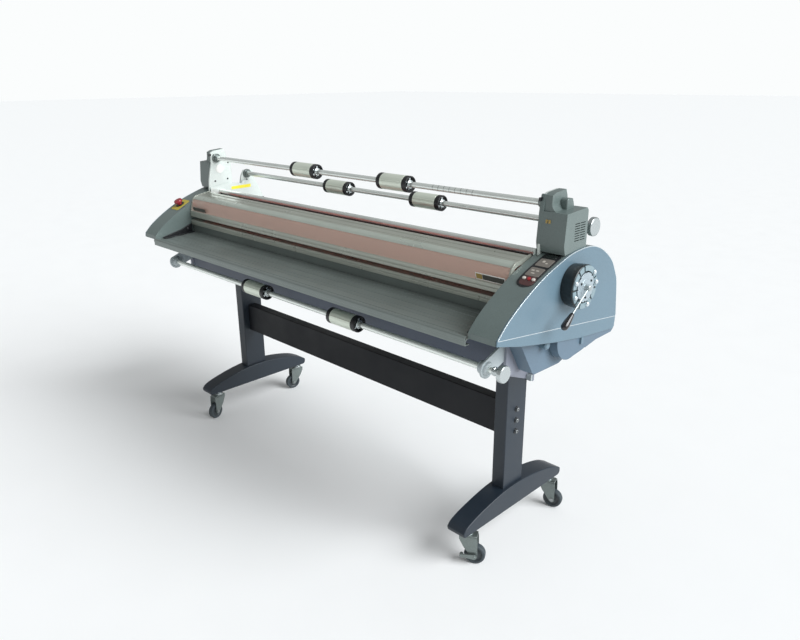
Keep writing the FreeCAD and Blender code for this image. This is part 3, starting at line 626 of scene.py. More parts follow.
# ---- stand --------------------------------------------------------------------------------------
@dataclass
class Stand:
    """Feet, columns, stretcher, bolts and the brackets at the column heads."""

    foot_width: Pair = (738.0, 812.0)
    foot_top: Outline = ((-272, 150), (-250, 169), (-182, 191), (-69, 213), (40, 217), (150, 205),
                         (235, 185), (288, 160))
    foot_under: Outline = ((288, 146), (284, 138), (277, 133), (-262, 133), (-269, 137))
    column: Pair = (750.0, 800.0)
    column_half: float = 53.0
    column_foot: float = 190.0
    column_top: float = 700.0
    bolt_heights: tuple[float, ...] = (419.0, 460.0, 501.0)

    def build(self) -> None:
        """Make every piece of the stand."""
        for side in Side:
            self.foot(side)
            self.column_piece(side)
            self.head(side)
            self.bolts(side)
        low, high = box_mm("stretcher_beam")
        piece("stretcher", Blank().block(tuple(low), tuple(high)), BEAM_BLACK, "frame",
              ("stretcher_beam",), 3.0, 3)

    def foot(self, side: Side) -> None:
        """Arched foot with rounded ends."""
        outline = curve_through(self.foot_top, 5) + list(self.foot_under)
        blank = Blank().prism(outline, *side.span(*self.foot_width))
        piece("foot_" + side.word, blank, STAND_BLACK, "frame", ("stand_feet",), 4.0, 3)

    def column_piece(self, side: Side) -> None:
        """Rectangular tube column."""
        half = self.column_half
        blank = side.block(*self.column, (-half, self.column_foot), (half, self.column_top))
        piece("column_" + side.word, blank, STAND_BLACK, "frame", ("stand_columns",), 3.0, 3)

    def head(self, side: Side) -> None:
        """Bracket that joins the column to the machine, with its bolted tab.

        Args:
            side: the end it is for.
        """
        inner, outer = self.column
        blank = Blank().prism([(-56, 637), (-56, 712), (56, 712), (56, 592)], *side.span(inner - 3, outer + 1.2))
        blank.prism([(52, 591), (61, 591), (61, 617), (52, 617)], *side.span(outer - 8, outer + 22))
        piece("head_" + side.word, blank, HEAD_GREY, "frame", ("column_heads",), 1.2)
        piece("head_tab_" + side.word, side.block(outer + 2, outer + 21, (44, 593), (61, 615)), ARM_GREY,
              "frame", (), 1.2)

    def bolts(self, side: Side) -> None:
        """Socket screws on domed washers through the column.

        Args:
            side: the end they are for.
        """
        heads, washers = Blank(), Blank()
        face, back = self.column[1], self.column[0] + 1
        for z in self.bolt_heights:
            washers.turned([(face - 1, 0), (face - 1, 10.5), (face + 1.2, 9.8), (face + 2, 7), (face + 2, 0)],
                           (0, z), 32, side.flip)
            heads.turned([(face + 1, 0), (face + 1, 6.6), (face + 7.5, 6.6), (face + 8.4, 5.6),
                          (face + 8.4, 3.2), (face + 4.5, 3.0), (face + 4.5, 0)], (0, z), 24, side.flip)
            washers.turned([(back, 0), (back, 9.5), (back - 4, 8.5), (back - 5, 0)], (0, z), 24, side.flip)
        piece("column_screws_" + side.word, heads, STEEL, "frame", ("stand_bolts",), 0.4)
        piece("column_washers_" + side.word, washers, ABS_BLACK, "frame", (), 0)


@dataclass
class Caster:
    """A swivel caster; a braked one has a foot lever."""

    label: str
    at: Pair
    turn: float
    braked: bool
    trail: float = 28.0
    radius: float = 36.0
    width: float = 24.0
    cheek_mm: float = 3.0
    cheeks: Pair = (-18.5, 15.5)

    def build(self) -> None:
        """Make the fork, the wheel and the lever."""
        place = Matrix.Translation((*self.at, 0)) @ spun(self.turn, "Z")
        up = place @ aimed((0, 0, 0), Z_AXIS)
        across = place @ aimed((self.trail, 0, self.radius), Y_AXIS)
        self.fork(place, up, across)
        self.wheel(across)
        if self.braked:
            self.lever(place, across)

    def fork(self, place: Matrix, up: Matrix, across: Matrix) -> None:
        """Pressed fork under a ball-race head, on its plated stem.

        Args:
            place: the caster's own placement.
            up: the swivel's axis.
            across: the wheel's axis.
        """
        body = self.label + "_fork"
        head = Blank().turned([(111, 0), (111, 19), (113, 21), (118, 21), (119.5, 18), (120.5, 14.5), (124, 14.5),
                               (125.5, 18), (128, 19.5), (132.4, 19.5), (132.4, 0)], (0, 0), 40, up)
        head.turned([(132, 0), (132, 6), (150, 6), (150, 0)], (0, 0), 24, up)
        piece(self.label + "_race", head, NICKEL, body, (body,), 0.5)
        side_on = place @ spun(90, "Z") @ spun(180, "Z") @ Matrix.Scale(-1, 4, Y_AXIS)
        cheek = [(25, 112), (24, 96), (10, 68), *arc((-self.trail, self.radius), 11, -35, -200, 10),
                 (-38, 92), (-36, 106), (-30, 112)]
        fork = Blank()
        for start in self.cheeks:
            fork.prism(cheek, start, start + self.cheek_mm, side_on)
        fork.prism([(-18.5, 104), (-18.5, 109), (-14, 113), (14, 113), (18.5, 109), (18.5, 104), (15.5, 104),
                    (13, 109), (-13, 109), (-15.5, 104)], -20, 36, place)
        piece(self.label + "_pressing", fork, ZINC, body, (), 0.8)
        axle = Blank()
        for sign, corners in ((-1, 24), (1, 6)):
            axle.turned([(11, 0), (11, 5.0), (19, 5.0), (19, 7.5), (21, 7.0), (21.8, 4.0), (21.8, 0)], (0, 0),
                        corners, across @ Matrix.Scale(sign, 4, X_AXIS))
        piece(self.label + "_axle", axle, STEEL, body, (), 0.4)

    def wheel(self, across: Matrix) -> None:
        """Crowned tread on a nylon hub with a dished side.

        Args:
            across: the wheel's axis.
        """
        half, r, body = self.width / 2, self.radius, self.label + "_wheel"
        tread = Blank().turned([(-half, r - 9), (-half + 0.5, r - 3), (-half + 3, r - 0.6), (0, r),
                                (half - 3, r - 0.6), (half - 0.5, r - 3), (half, r - 9)], (0, 0), 64, across)
        piece(self.label + "_tread", tread, TREAD_GREY, body, (body,), 0)
        hub = Blank().turned([(-half + 0.4, 5.2), (-half + 0.4, 10), (-half + 4, 12), (-half + 5, 22),
                              (-half + 1, r - 8.5), (half - 1, r - 8.5), (half - 5, 22), (half - 4, 12),
                              (half - 0.4, 10), (half - 0.4, 5.2)], (0, 0), 48, across)
        piece(self.label + "_hub", hub, HUB_GREY, body, (), 0.4)

    def lever(self, place: Matrix, across: Matrix) -> None:
        """Brake lever: a pressed arm with a rounded pedal.

        Args:
            place: the caster's own placement.
            across: the wheel's axis.
        """
        outline = arc((self.trail, self.radius), 9, -90, 90, 10) + arc((-14, self.radius), 6, 90, 270, 10)
        side_on = place @ Matrix(((0, 1, 0, 0), (1, 0, 0, 0), (0, 0, 1, 0), (0, 0, 0, 1)))
        blank = Blank().prism(outline, -26.6, -22.4, side_on)
        blank.turned([(-26, 0), (-26, 6), (-12, 6), (-10.5, 4), (-10.5, 0)], (0, 0), 24,
                     place @ aimed((-15, 0, self.radius), Y_AXIS))
        blank.turned([(-27.4, 0), (-27.4, 4), (-26, 5), (-26, 0)], (0, 0), 24, across)
        body = self.label + "_brake"
        piece(self.label + "_pedal", blank, ZINC, body, (body,), 0.6)


# ---- machine frame --------------------------------------------------------------------------------
@dataclass
class MachineFrame:
    """Side plates with their towers, base beam, front apron, table, guide bar and rear cover."""

    half: float = 887.5
    window: Pair = (-24.0, 1152.0)
    screws: Outline = ((-52, 1099), (14, 1104), (-10, 1062), (118, 1090), (-50, 1216))
    front_edge: float = -76.4
    edge_lean: float = 0.079
    liner: Outline = ((-83, 1000), (-83, 1072), (20, 1085), (27, 1082), (81, 1076), (92, 1090), (158, 1087),
                      (160, 1066), (179, 1041), (201, 1001))
    table_slope: float = 16 / 226
    table_ribs: tuple[float, ...] = (-236.0, -298.0, -350.0)
    beads: Pair = (820.0, 850.0)
    rear_screws: int = 7

    def build(self) -> None:
        """Make every piece of the frame."""
        for side in Side:
            self.tower(side)
        piece("base_channel", Blank.of_node("base_beam"), STAND_BLACK, "frame", ("base_beam",))
        self.apron()
        self.table()
        bar = [(-197, 920), (-197, 929), (-195.8, 930.5), (-197, 932), (-197, 939), (-194, 942), (-150, 941.5),
               (-134, 939.5), (-134, 937.5), (-150, 938), (-188, 938), (-188, 920)]
        piece("guide_bar", self.full(bar), RAIL_ALUMINIUM, "frame", ("feed_guide_bar",), 0.5)
        piece("bar_seal", self.full([(-190, 888.8), (-190, 921), (-186, 921), (-186, 888.8)], 0.5), SEAL_GREY,
              "frame", (), 0.5)
        self.rear()

    def full(self, outline: Outline, short: float = 0.0) -> Blank:
        """A bar between the side plates, each end cut back by the same amount."""
        return Blank().prism(outline, short - self.half, self.half - short)

    def tower(self, side: Side) -> None:
        """Side plate with its tower, screws and the blank cap in its window.

        Args:
            side: the end it is for.
        """
        plate = Blank.of_node("side_plates", side)
        if side is Side.RIGHT:
            for v in plate.mesh.verts:
                if v.co.z > 1040 and v.co.y < -60:
                    v.co.y = max(v.co.y, self.front_edge + max(0.0, v.co.z - 1095) * self.edge_lean)
        piece("side_plate_" + side.word, plate, TOWER_WHITE, "frame", ("side_plates",), 0.7)
        toe = Blank().prism([(-213.4, 714), (-213.4, 838), (-198, 838), (-120, 760), (-120, 714)],
                            *side.span(894.4, 903.5))
        piece("plate_toe_" + side.word, toe, HEAD_GREY, "frame", (), 0.5)
        cap = Blank().turned([(893.5, 0), (893.5, 16), (894.2, 18.8), (895.4, 18.8), (895.4, 17.5), (901, 17.5),
                              (901, 0)], self.window, 40, side.flip)
        piece("window_cap_" + side.word, cap, LABEL_WHITE, "frame", (), 0.3)
        screws = Blank()
        for centre in self.screws:
            screws.turned([(892.2, 0), (892.2, 2.4), (893.6, 4.2), (895.3, 4.2), (895.3, 0)], centre, 20,
                          side.flip)
        piece("tower_screws_" + side.word, screws, DARK_STEEL, "frame", (), 0)
        piece("liner_plate_" + side.word, Blank().prism(self.liner, *side.span(887.5, 888.9)), TOWER_WHITE,
              "frame", (), 0.3)
        if side is Side.LEFT:
            strip = Blank().prism([(26, 1053), (26, 1066), (132, 1069), (132, 1054)], *side.span(886.9, 887.6))
            piece("tower_strip", strip, TAPE_YELLOW, "frame", (), 0)

    def apron(self) -> None:
        """Front apron with a folded lower hem and a rolled top rib."""
        blank, end = Blank.of_node("front_apron"), self.half - 1.5
        blank.prism([(-209, 716), (-206, 713), (-203, 713), (-203, 722), (-206, 724), (-209, 722)], -end, end)
        blank.prism([(-208.5, 806), (-206, 803), (-205, 803), (-205, 813), (-206, 813)], -end, end)
        piece("front_sheet", blank, APRON_SLATE, "frame", ("front_apron",), 0.4)

    def table(self) -> None:
        """Feed table, its front lip and the wedges that lock it at each end."""
        piece("table_sheet", Blank.of_node("feed_table"), TABLE_ALUMINIUM, "frame",
              ("feed_table",), 0.5)
        lip = [(-383.4, 866), (-385.6, 867.5), (-385.6, 877), (-383.4, 881), (-379.0, 883), (-377.6, 881.6),
               (-381.6, 879.4), (-383.4, 876)]
        piece("table_lip", self.full(lip, 0.6), TABLE_ALUMINIUM, "frame", (), 0.2)
        ribs = Blank()
        for y in self.table_ribs:
            z = 891 + (y + 152) * self.table_slope
            ribs.prism([(y - 7, z - 0.6), (y - 6, z + 0.9), (y + 6, z + 1.75), (y + 7, z + 0.4)],
                       -self.half + 1, self.half - 1)
        piece("table_ribs", ribs, TABLE_ALUMINIUM, "frame", (), 0.3)
        for side in Side:
            wedge = Blank().prism([(-345, 879), (-342, 884), (-250, 906), (-205, 925), (-200, 925), (-200, 890),
                                   (-260, 884)], *side.span(self.half - 9, self.half - 0.5))
            wedge.prism([(-345, 877.5), (-345, 881), (-200, 891.5), (-200, 888)],
                        *side.span(self.half - 26, self.half - 0.5))
            piece("table_wedge_" + side.word, wedge, ABS_BLACK, "frame", (), 0.8)

    def rear(self) -> None:
        """Rear cover with stiffening beads and a row of screws."""
        blank, end = Blank.of_node("rear_cover"), self.half - 40
        for z in self.beads:
            blank.prism([(236.4, z - 4), (239.6, z - 1.5), (239.6, z + 1.5), (236.4, z + 4)], -end, end)
        piece("rear_sheet", blank, CASE_DARK, "frame", ("rear_cover",), 0.5)
        screws = Blank()
        back = aimed((0, 0, 0), Y_AXIS)
        for i in range(self.rear_screws):
            screws.turned([(236.5, 0), (236.5, 4.4), (238.4, 3.8), (239.2, 0)], (840 - 280 * i, 802), 16, back)
        piece("rear_screws", screws, DARK_STEEL, "frame", (), 0)


@dataclass
class Arch:
    """The curve of the end cabinets, from the nose over the top."""

    points: Outline = ((-374, 893), (-342, 925), (-295, 959), (-247, 988), (-184, 1020), (-118, 1045),
                       (-49, 1066), (9, 1074), (63, 1074), (110, 1063), (155, 1040), (198, 1006), (226, 963),
                       (241, 925), (256, 814))
    under: Outline = ((253, 776), (245, 769), (51, 789), (-90, 812), (-267, 848), (-376, 877))

    def line(self) -> list[Pair]:
        """The smooth curve."""
        return curve_through(self.points)

    def outline(self) -> list[Pair]:
        """The closed outline of a cabinet's side."""
        return self.line() + list(self.under)

    def at(self, y: float) -> float:
        """Find the height of the cabinet top.

        Args:
            y: the place along Y.

        Returns:
            The height.
        """
        run = self.line()
        for (y0, z0), (y1, z1) in zip(run, run[1:]):
            if y0 <= y <= y1:
                return z0 + (z1 - z0) * (y - y0) / max(y1 - y0, 1e-6)
        return run[0][1]


@dataclass
class Cabinets:
    """End cabinets, their side covers and the covers under them."""

    arch: Arch
    open_side: float = 983.0
    outer: float = 989.0
    seam: tuple[Pair, Pair] = ((-372.0, 892.6), (254.5, 811.4))

    def build(self) -> None:
        """Make both ends."""
        for side in Side:
            self.casing(side)
            self.cover(side)
            self.lower(side)

    def casing(self, side: Side) -> None:
        """Folded casing with its black fixing knob on the inner wall.

        Args:
            side: the end it is for.
        """
        node = side.word + "_cabinet"
        piece("casing_" + side.word, Blank.of_node(node, side), CASE_DARK, "frame", (node,), 1.0)
        knob = Blank().turned([(889.5, 0), (889.5, 6.5), (885, 6.5), (885, 9.5), (877, 9.0), (875.5, 6.5),
                               (875.5, 0)], (-220, 903), 32, side.flip)
        piece("casing_knob_" + side.word, knob, ABS_BLACK, "frame", (), 0.6)

    def cover(self, side: Side) -> None:
        """Flat side cover with a rolled rim and the joint line across it; a pale strip along each is a painted
        highlight where light catches the edge.

        Args:
            side: the end it is for.
        """
        blank = Blank().prism(self.arch.outline(), *side.span(self.open_side, self.outer - 0.4))
        piece("side_cover_" + side.word, blank, COVER_BLUE, "frame",
              (side.word + "_side_cover",), 2.2, 3)
        # A thin pale strip along the arch: a painted highlight on the rolled rim.
        run = self.arch.line()
        inside = [(y + (30 - y) * 0.0075, z - (z - 830) * 0.0095) for y, z in run]
        rim = Blank().prism(run + inside[::-1], *side.span(self.outer - 1.9, self.outer + 0.2))
        piece("cover_rim_highlight_" + side.word, rim, TRIM_SILVER_AND_EDGE_HIGHLIGHT, "frame", (), 0.6)
        # A thin pale strip along the joint: a painted highlight where light catches the ledge's edge.
        (y0, z0), (y1, z1) = self.seam
        line = Blank().prism([(y0, z0), (y1, z1), (y1, z1 - 2.0), (y0, z0 - 2.0)],
                             *side.span(self.outer - 1.5, self.outer + 0.3))
        piece("cover_seam_highlight_" + side.word, line, TRIM_SILVER_AND_EDGE_HIGHLIGHT, "frame", (), 0.3)

    def lower(self, side: Side) -> None:
        """Skirt and round gear cover below the cabinet, with a screw boss and a latch.

        Args:
            side: the end they are for.
        """
        piece("lower_cover_" + side.word, Blank.of_node("lower_covers", side), SKIRT_SLATE, "frame",
              ("lower_covers",), 1.6, 3)
        boss = Blank().turned([(952, 0), (952, 13), (972, 13), (976, 9), (976, 0)], (-111, 804), 32, side.flip)
        piece("cover_boss_" + side.word, boss, COVER_BLUE, "frame", (), 0.8)
        tail = Blank().prism([(88, 745), (150, 755), (244, 757), (258, 768), (250, 800), (88, 800)],
                             *side.span(953.5, 983.9))
        piece("cover_tail_" + side.word, tail, SKIRT_SLATE, "frame", (), 1.6, 3)
        piece("cover_latch_" + side.word, side.block(983, 990.4, (50, 768), (62, 790)), COVER_BLUE, "frame",
              (), 0.8)


@dataclass
class ShaftHousings:
    """Louvred housings at the towers, with the cradle for the shaft end."""

    flange: Outline = ((-70, 1064), (-77.2, 1095), (-70.2, 1184), (-67.2, 1207), (-63.2, 1229), (-58, 1232),
                       (-58, 1064))
    backing: Outline = ((-55, 1110), (-55, 1228), (6, 1240.5), (14.4, 1221), (20.4, 1169), (41.6, 1181),
                        (41.6, 1076), (20, 1076))
    cradle: Outline = ((-22, 1182), (-22, 1214), (-16, 1219), (8, 1217), (15, 1200), (15, 1182))
    labels: Pair = (917.0, 926.5)

    def build(self) -> None:
        """Make both housings and their small labels."""
        for side in Side:
            piece("housing_" + side.word, Blank.of_node("shaft_housings", side), CASE_DARK, "frame",
                  ("shaft_housings",), 2.4, 3)
            if side is Side.RIGHT:
                piece("housing_flange_right", Blank().prism(self.flange, *side.span(889.4, 904)), CASE_DARK,
                      "frame", (), 1.6)
            piece("housing_backing_" + side.word, Blank().prism(self.backing, *side.span(901.5, 903.7)),
                  TOWER_WHITE, "frame", (), 0.6)
            piece("housing_catch_" + side.word, side.block(890, 896, (-76, 1212), (-64, 1222)), ABS_BLACK,
                  "frame", (), 0.8)
            piece("housing_cradle_" + side.word, Blank().prism(self.cradle, *side.span(926, 951)), CASE_DARK,
                  "frame", (), 3.0, 3)
        labels = Blank()
        for x in self.labels:
            labels.block((x, -75.4, 1152), (x + 5.0, -71.6, 1162))
        piece("housing_label", labels, LABEL_GOLD, "frame", (), 0)


# ---- controls -------------------------------------------------------------------------------------
@dataclass
class Controls:
    """Key panel on the right cabinet and the emergency stop on the left one."""

    arch: Arch
    tilt: float = 27.0
    key_y: float = -193.0
    keys: tuple[tuple[str, float, Finish, str], ...] = (("key_forward", 937.0, KEY_WHITE, "key_white"),
                                                        ("key_stop", 953.0, KEY_RED, "key_red"),
                                                        ("key_reverse", 968.0, KEY_WHITE, "key_white"))
    pads: Pair = (-116.0, -163.0)
    marks: tuple[tuple[float, ...], ...] = ((944, -112, 8, 9), (957, -119, 7, 5), (940, -158, 9, 5),
                                            (955, -158, 9, 5), (947, -170, 12, 4))
    stop: Triple = (-938.0, -216.0, 1004.5)

    def normal(self) -> Vector:
        """Outward direction of the cabinet top at the controls."""
        a = math.radians(self.tilt)
        return Vector((0, -math.sin(a), math.cos(a)))

    def build(self) -> None:
        """Make the panel, the keys and the stop."""
        self.panel()
        for node, x, finish, slot in self.keys:
            cap = Blank().turned([(-3, 0), (-3, 5.2), (5.6, 5.4), (7.0, 4.8), (7.4, 3.6), (7.2, 0)], (0, 0), 32,
                                 aimed((x, self.key_y, self.arch.at(self.key_y)), self.normal()))
            piece(node + "_cap", cap, finish, node, (node,), 0.3)
        self.emergency()

    def panel(self) -> None:
        """Black oval bezel, display window, two membrane pads and the key bed."""
        arch = self.arch
        piece("panel_bezel", Blank().patch((949, -141), (56, 164), 24, arch, 3.0, 5.0, 16), ABS_BLACK, "frame",
              ("control_panel",), 0.8)
        piece("panel_display", Blank().patch((948, -81), (38, 26), 12, arch, 3.7, 2.0, 10), DISPLAY, "frame",
              (), 0.3)
        pads, marks = Blank(), Blank()
        for middle in self.pads:
            pads.patch((950, middle), (45, 38), 4, arch, 4.0, 3.0, 10)
        piece("panel_pads", pads, PAD_TAUPE, "frame", (), 0.5)
        for x, y, width, length in self.marks:
            marks.patch((x, y), (width, length), 1.5, arch, 4.4, 1.0, 4)
        piece("panel_marks", marks, PAD_MARK, "frame", (), 0)
        piece("panel_key_bed", Blank().patch((952.5, -200), (46, 36), 14, arch, 3.8, 3.0, 12), KEY_BASE, "frame",
              (), 0.4)

    def emergency(self) -> None:
        """Mushroom stop button on its yellow plate."""
        piece("stop_plate", Blank().patch(self.stop[:2], (60, 66), 6, self.arch, 2.4, 2.0, 12), PLATE_YELLOW,
              "frame", ("estop_base",), 0.4)
        place = aimed(self.stop, self.normal())
        collar = Blank().turned([(-10, 10.4), (-10, 15), (2, 15), (2, 19), (4.6, 19), (5.6, 17.5), (5.6, 10.4)],
                                (0, 0), 48, place)
        piece("stop_collar", collar, ABS_BLACK, "frame", (), 0.4)
        head = Blank().turned([(-20, 0), (-20, 9.8), (12.4, 9.8), (13.2, 13), (15.2, 17.5), (16.4, 19), (22, 19),
                               (25.6, 17.6), (27, 13), (27, 0)], (0, 0), 56, place)
        for turn in (20, 140, 260):
            head.turned([(26.6, 0), (26.6, 1.6), (27.5, 1.4), (27.5, 0)], polar((0, 0), 9, turn), 12, place)
        piece("stop_head", head, STOP_RED, "estop_button", ("estop_button",), 0.8)


@dataclass
class Selector:
    """Roller lift selector: a notched drum, a hub plate and the hand lever."""

    axis: Pair = (-28.0, 976.0)
    base: float = 988.6
    rim: float = 66.0
    lugs: tuple[float, ...] = (158.0, 42.0, 6.0, 202.0, 286.0)
    slots: tuple[float, ...] = (22.0, 100.0, 128.0, 180.0, 222.0, 246.0, 288.0, 312.0, 348.0)
    narrowest: float = 12.0
    notches: int = 8
    lever_angle: float = 218.0
    lever_x: float = 1043.0

    def build(self) -> None:
        """Make the fixed drum and the turning hub."""
        base, rim = self.base, self.rim
        drum = Blank().turned([(base, 46), (base, rim - 4), (1012, rim - 1), (1028, rim - 0.5),
                               (1030.5, rim - 3.5), (1030.5, 46.5), (1006, 45.5), (1006, 12),
                               (base + 1, 12)], self.axis, 96)
        piece("selector_drum", drum, RING_DARK, "frame", ("selector_ring",), 1.2, 3)
        face = Blank()
        for a, b in zip(self.slots, self.slots[1:] + (self.slots[0] + 360,)):
            if b - a > self.narrowest:
                face.prism(arc(self.axis, 63.5, a + 3, b - 3, 14) + arc(self.axis, 47.5, b - 3, a + 3, 14),
                           1029, 1033)
        piece("selector_segments", face, SEGMENT_GREY, "frame", (), 0.8)
        lugs = Blank()
        for a in self.lugs:
            lugs.turned([(1030, 0), (1030, 7.4), (1036.5, 7.0), (1039, 4.6), (1039.6, 0)],
                        polar(self.axis, 56, a), 28)
        piece("selector_lugs", lugs, TRIM_SILVER_AND_EDGE_HIGHLIGHT, "frame", (), 0.5)
        self.hub()
        self.lever()

    def hub(self) -> None:
        """Turned hub plate with a raised boss, index notches and fixing screws."""
        outline: list[Pair] = []
        for i in range(self.notches):
            a = 360.0 / self.notches * i
            outline += arc(self.axis, 43.8, a + 5, a + 40, 7) + arc(self.axis, 40.6, a + 42, a + 48, 2)
        plate = Blank().prism(outline, 1009, 1034.5)
        plate.turned([(1034, 0), (1034, 27), (1035.4, 26), (1035.6, 0)], self.axis, 48)
        piece("selector_plate", plate, HUB_POLISHED, "selector", ("selector_hub",), 0.8)
        screws = Blank()
        for a in (30, 150, 270):
            screws.turned([(1034, 0), (1034, 3.6), (1036.6, 3.2), (1037, 1.6), (1035.8, 1.5), (1035.8, 0)],
                          polar(self.axis, 30, a), 18)
        piece("selector_screws", screws, DARK_STEEL, "selector", (), 0)

    def lever(self) -> None:
        """Chrome rod in a cross-drilled boss with a pear-shaped grip."""
        place = aimed((self.lever_x, *self.axis), Vector((0, *polar((0, 0), 1, self.lever_angle))))
        rod = Blank().turned([(-12, 0), (-12, 2.6), (-11, 3.2), (100, 3.2), (100, 0)], (0, 0), 24, place)
        rod.turned([(1034.5, 0), (1034.5, 10.5), (1040, 9), (1048, 9), (1050, 7), (1050, 0)], self.axis, 32)
        piece("selector_rod", rod, LEVER_STEEL, "selector", ("selector_lever",), 0.3)
        pear = curve_through([(97, 4.6), (99, 6.2), (112, 8.4), (128, 10.6), (140, 11.2), (148, 9.6), (153, 5.0),
                              (154.4, 0)], 4)[:-1]
        grip = Blank().turned([(96, 0), (96, 4.4), *((x, max(r, 0.0)) for x, r in pear), (154.4, 0)], (0, 0),
                              40, place)
        piece("selector_grip", grip, GRIP_BLACK, "selector", (), 0)


# ---- rollers ----------------------------------------------------------------------------------------
@dataclass
class Rollers:
    """The two silicone rollers, with their cores, and the drive parts that keep their CAD shape."""

    half: float = 870.0
    radius: float = 48.0
    core: float = 40.0
    kinds: tuple[tuple[str, float, Pair], ...] = (("lower", 15.0, (-951.0, 909.0)),
                                                  ("upper", 12.0, (-916.3, 916.3)))
    drive: tuple[tuple[str, Finish], ...] = (
        ("roller_gear", GEAR_STEEL), ("motor_pinion", GEAR_STEEL), ("drive_motor", MOTOR_BLACK),
        ("roller_bearings", STEEL), ("bearing_blocks", NICKEL), ("lift_camshaft", STEEL),
        ("power_module", BOARD_GREEN))

    def build(self) -> None:
        """Make both rollers and dress the drive."""
        r, h, core = self.radius, self.half, self.core
        for name, journal, (start, stop) in self.kinds:
            node = name + "_roller"
            low, high = box_mm(node + "_sleeve")
            axis = ((low.y + high.y) / 2, (low.z + high.z) / 2)
            sleeve = Blank().turned([(-h, core), (-h, r - 2), (2 - h, r), (h - 2, r), (h, r - 2), (h, core)],
                                    axis, 96)
            piece(name + "_sleeve", sleeve, SILICONE, node, (node + "_sleeve",), 0)
            bar = Blank().turned([(start, 0), (start, journal - 1), (start + 1, journal), (0.4 - h, journal),
                                  (0.4 - h, core - 0.2), (h - 0.4, core - 0.2), (h - 0.4, journal),
                                  (stop - 1, journal), (stop, journal - 1), (stop, 0)], axis, 64)
            piece(name + "_core", bar, STEEL, node, (node + "_core",), 0.4)
        for node, finish in self.drive:
            dress_node(node, finish)


@dataclass
class SupplyShafts:
    """Upper and lower film shafts with their knobs, seats and arms."""

    upper_front: Pair = (-38.0, 1202.0)
    upper_rear: Pair = (119.0, 1119.0)
    lower: Pair = (-290.0, 763.0)
    radius: float = 10.0

    def build(self) -> None:
        """Make the shafts and what carries them."""
        r = self.radius
        front = Blank().turned([(-918, 0), (-918, r - 1.5), (-916.5, r), (916.5, r), (918, r - 1.5), (918, 0)],
                               self.upper_front, 48)
        piece("front_shaft", front, CHROME_RULED, "upper_front_shaft", ("upper_front_shaft",), 0)
        rear = Blank().turned([(-912, 0), (-912, r - 1.5), (-910.5, r), (938, r), (938, 0)], self.upper_rear, 48)
        piece("rear_shaft", rear, CHROME, "upper_rear_shaft", ("upper_rear_shaft",), 0)
        self.knob("rear_knob", self.upper_rear, (936.0, 967.0), 29.0, "upper_rear_shaft")
        low = Blank().turned([(-918, 0), (-918, 15.5), (-916.5, 17), (-907.5, 17), (-906, 15.5), (-906, r),
                              (918, r), (918, 0)], self.lower, 48)
        piece("lower_shaft_bar", low, CHROME, "lower_shaft", ("lower_shaft",), 0.3)
        self.knob("lower_knob", self.lower, (918.0, 958.0), 26.0, "lower_shaft")
        for side in Side:
            self.seats(side)
            self.arm(side)

    def knob(self, name: str, axis: Pair, reach: Pair, radius: float, body: str) -> None:
        """Turned hand knob: a waisted neck and a flat disc with a dished face.

        Args:
            name: the piece's name.
            axis: its axis, as (y, z).
            reach: where along X the neck starts and the disc ends.
            radius: radius of the disc.
            body: the body it turns with.
        """
        x, end = reach
        blank = Blank().turned([(x, 0), (x, 13), (x + 6, 13.6), (x + 8, 11.4), (end - 20, 11.4), (end - 17, 14),
                                (end - 16, radius - 3), (end - 14.5, radius - 0.6), (end - 12.5, radius),
                                (end - 3, radius), (end - 1, radius - 0.8), (end, radius - 2.8),
                                (end - 0.8, radius - 6), (end - 1.1, 0)], axis, 72)
        piece(name, blank, NICKEL, body, (), 0.3)

    def seats(self, side: Side) -> None:
        """Dark collars that hold the upper shafts at a tower.

        Args:
            side: the end they are for.
        """
        dark, screws = Blank(), Blank()
        for axis in (self.upper_front, self.upper_rear):
            dark.turned([(872, 10.1), (872, 14), (875, 15.5), (884, 15.5), (884, 19), (886, 20), (895, 20),
                         (895, 10.1)], axis, 48, side.flip)
            screws.turned([(879.5, 0), (879.5, 2.2), (893, 2.2), (893, 0)], (axis[0] - 14, axis[1] + 12), 14,
                          side.flip)
        piece("shaft_seats_" + side.word, dark, ZINC, "frame", ("shaft_supports",), 0.5)
        piece("seat_screws_" + side.word, screws, STEEL, "frame", (), 0)

    def arm(self, side: Side) -> None:
        """Pale bracket that carries the lower shaft, with its round hub.

        Args:
            side: the end it is for.
        """
        outline = arc(self.lower, 30, 140, 290, 16) + [(-268, 742), (-190, 770), (-150, 800), (-190, 826),
                                                       (-214, 822)]
        blank = Blank().prism(outline, 888, 895, side.flip)
        blank.turned([(870, 10.1), (870, 17), (873, 20), (886, 20), (886, 24), (888.5, 24), (888.5, 10.1)],
                     self.lower, 48, side.flip)
        blank.turned([(894, 10.1), (894, 21), (897, 21), (902, 18), (902, 10.1)], self.lower, 48, side.flip)
        piece("lower_arm_" + side.word, blank, ARM_GREY, "frame", (), 0.8)


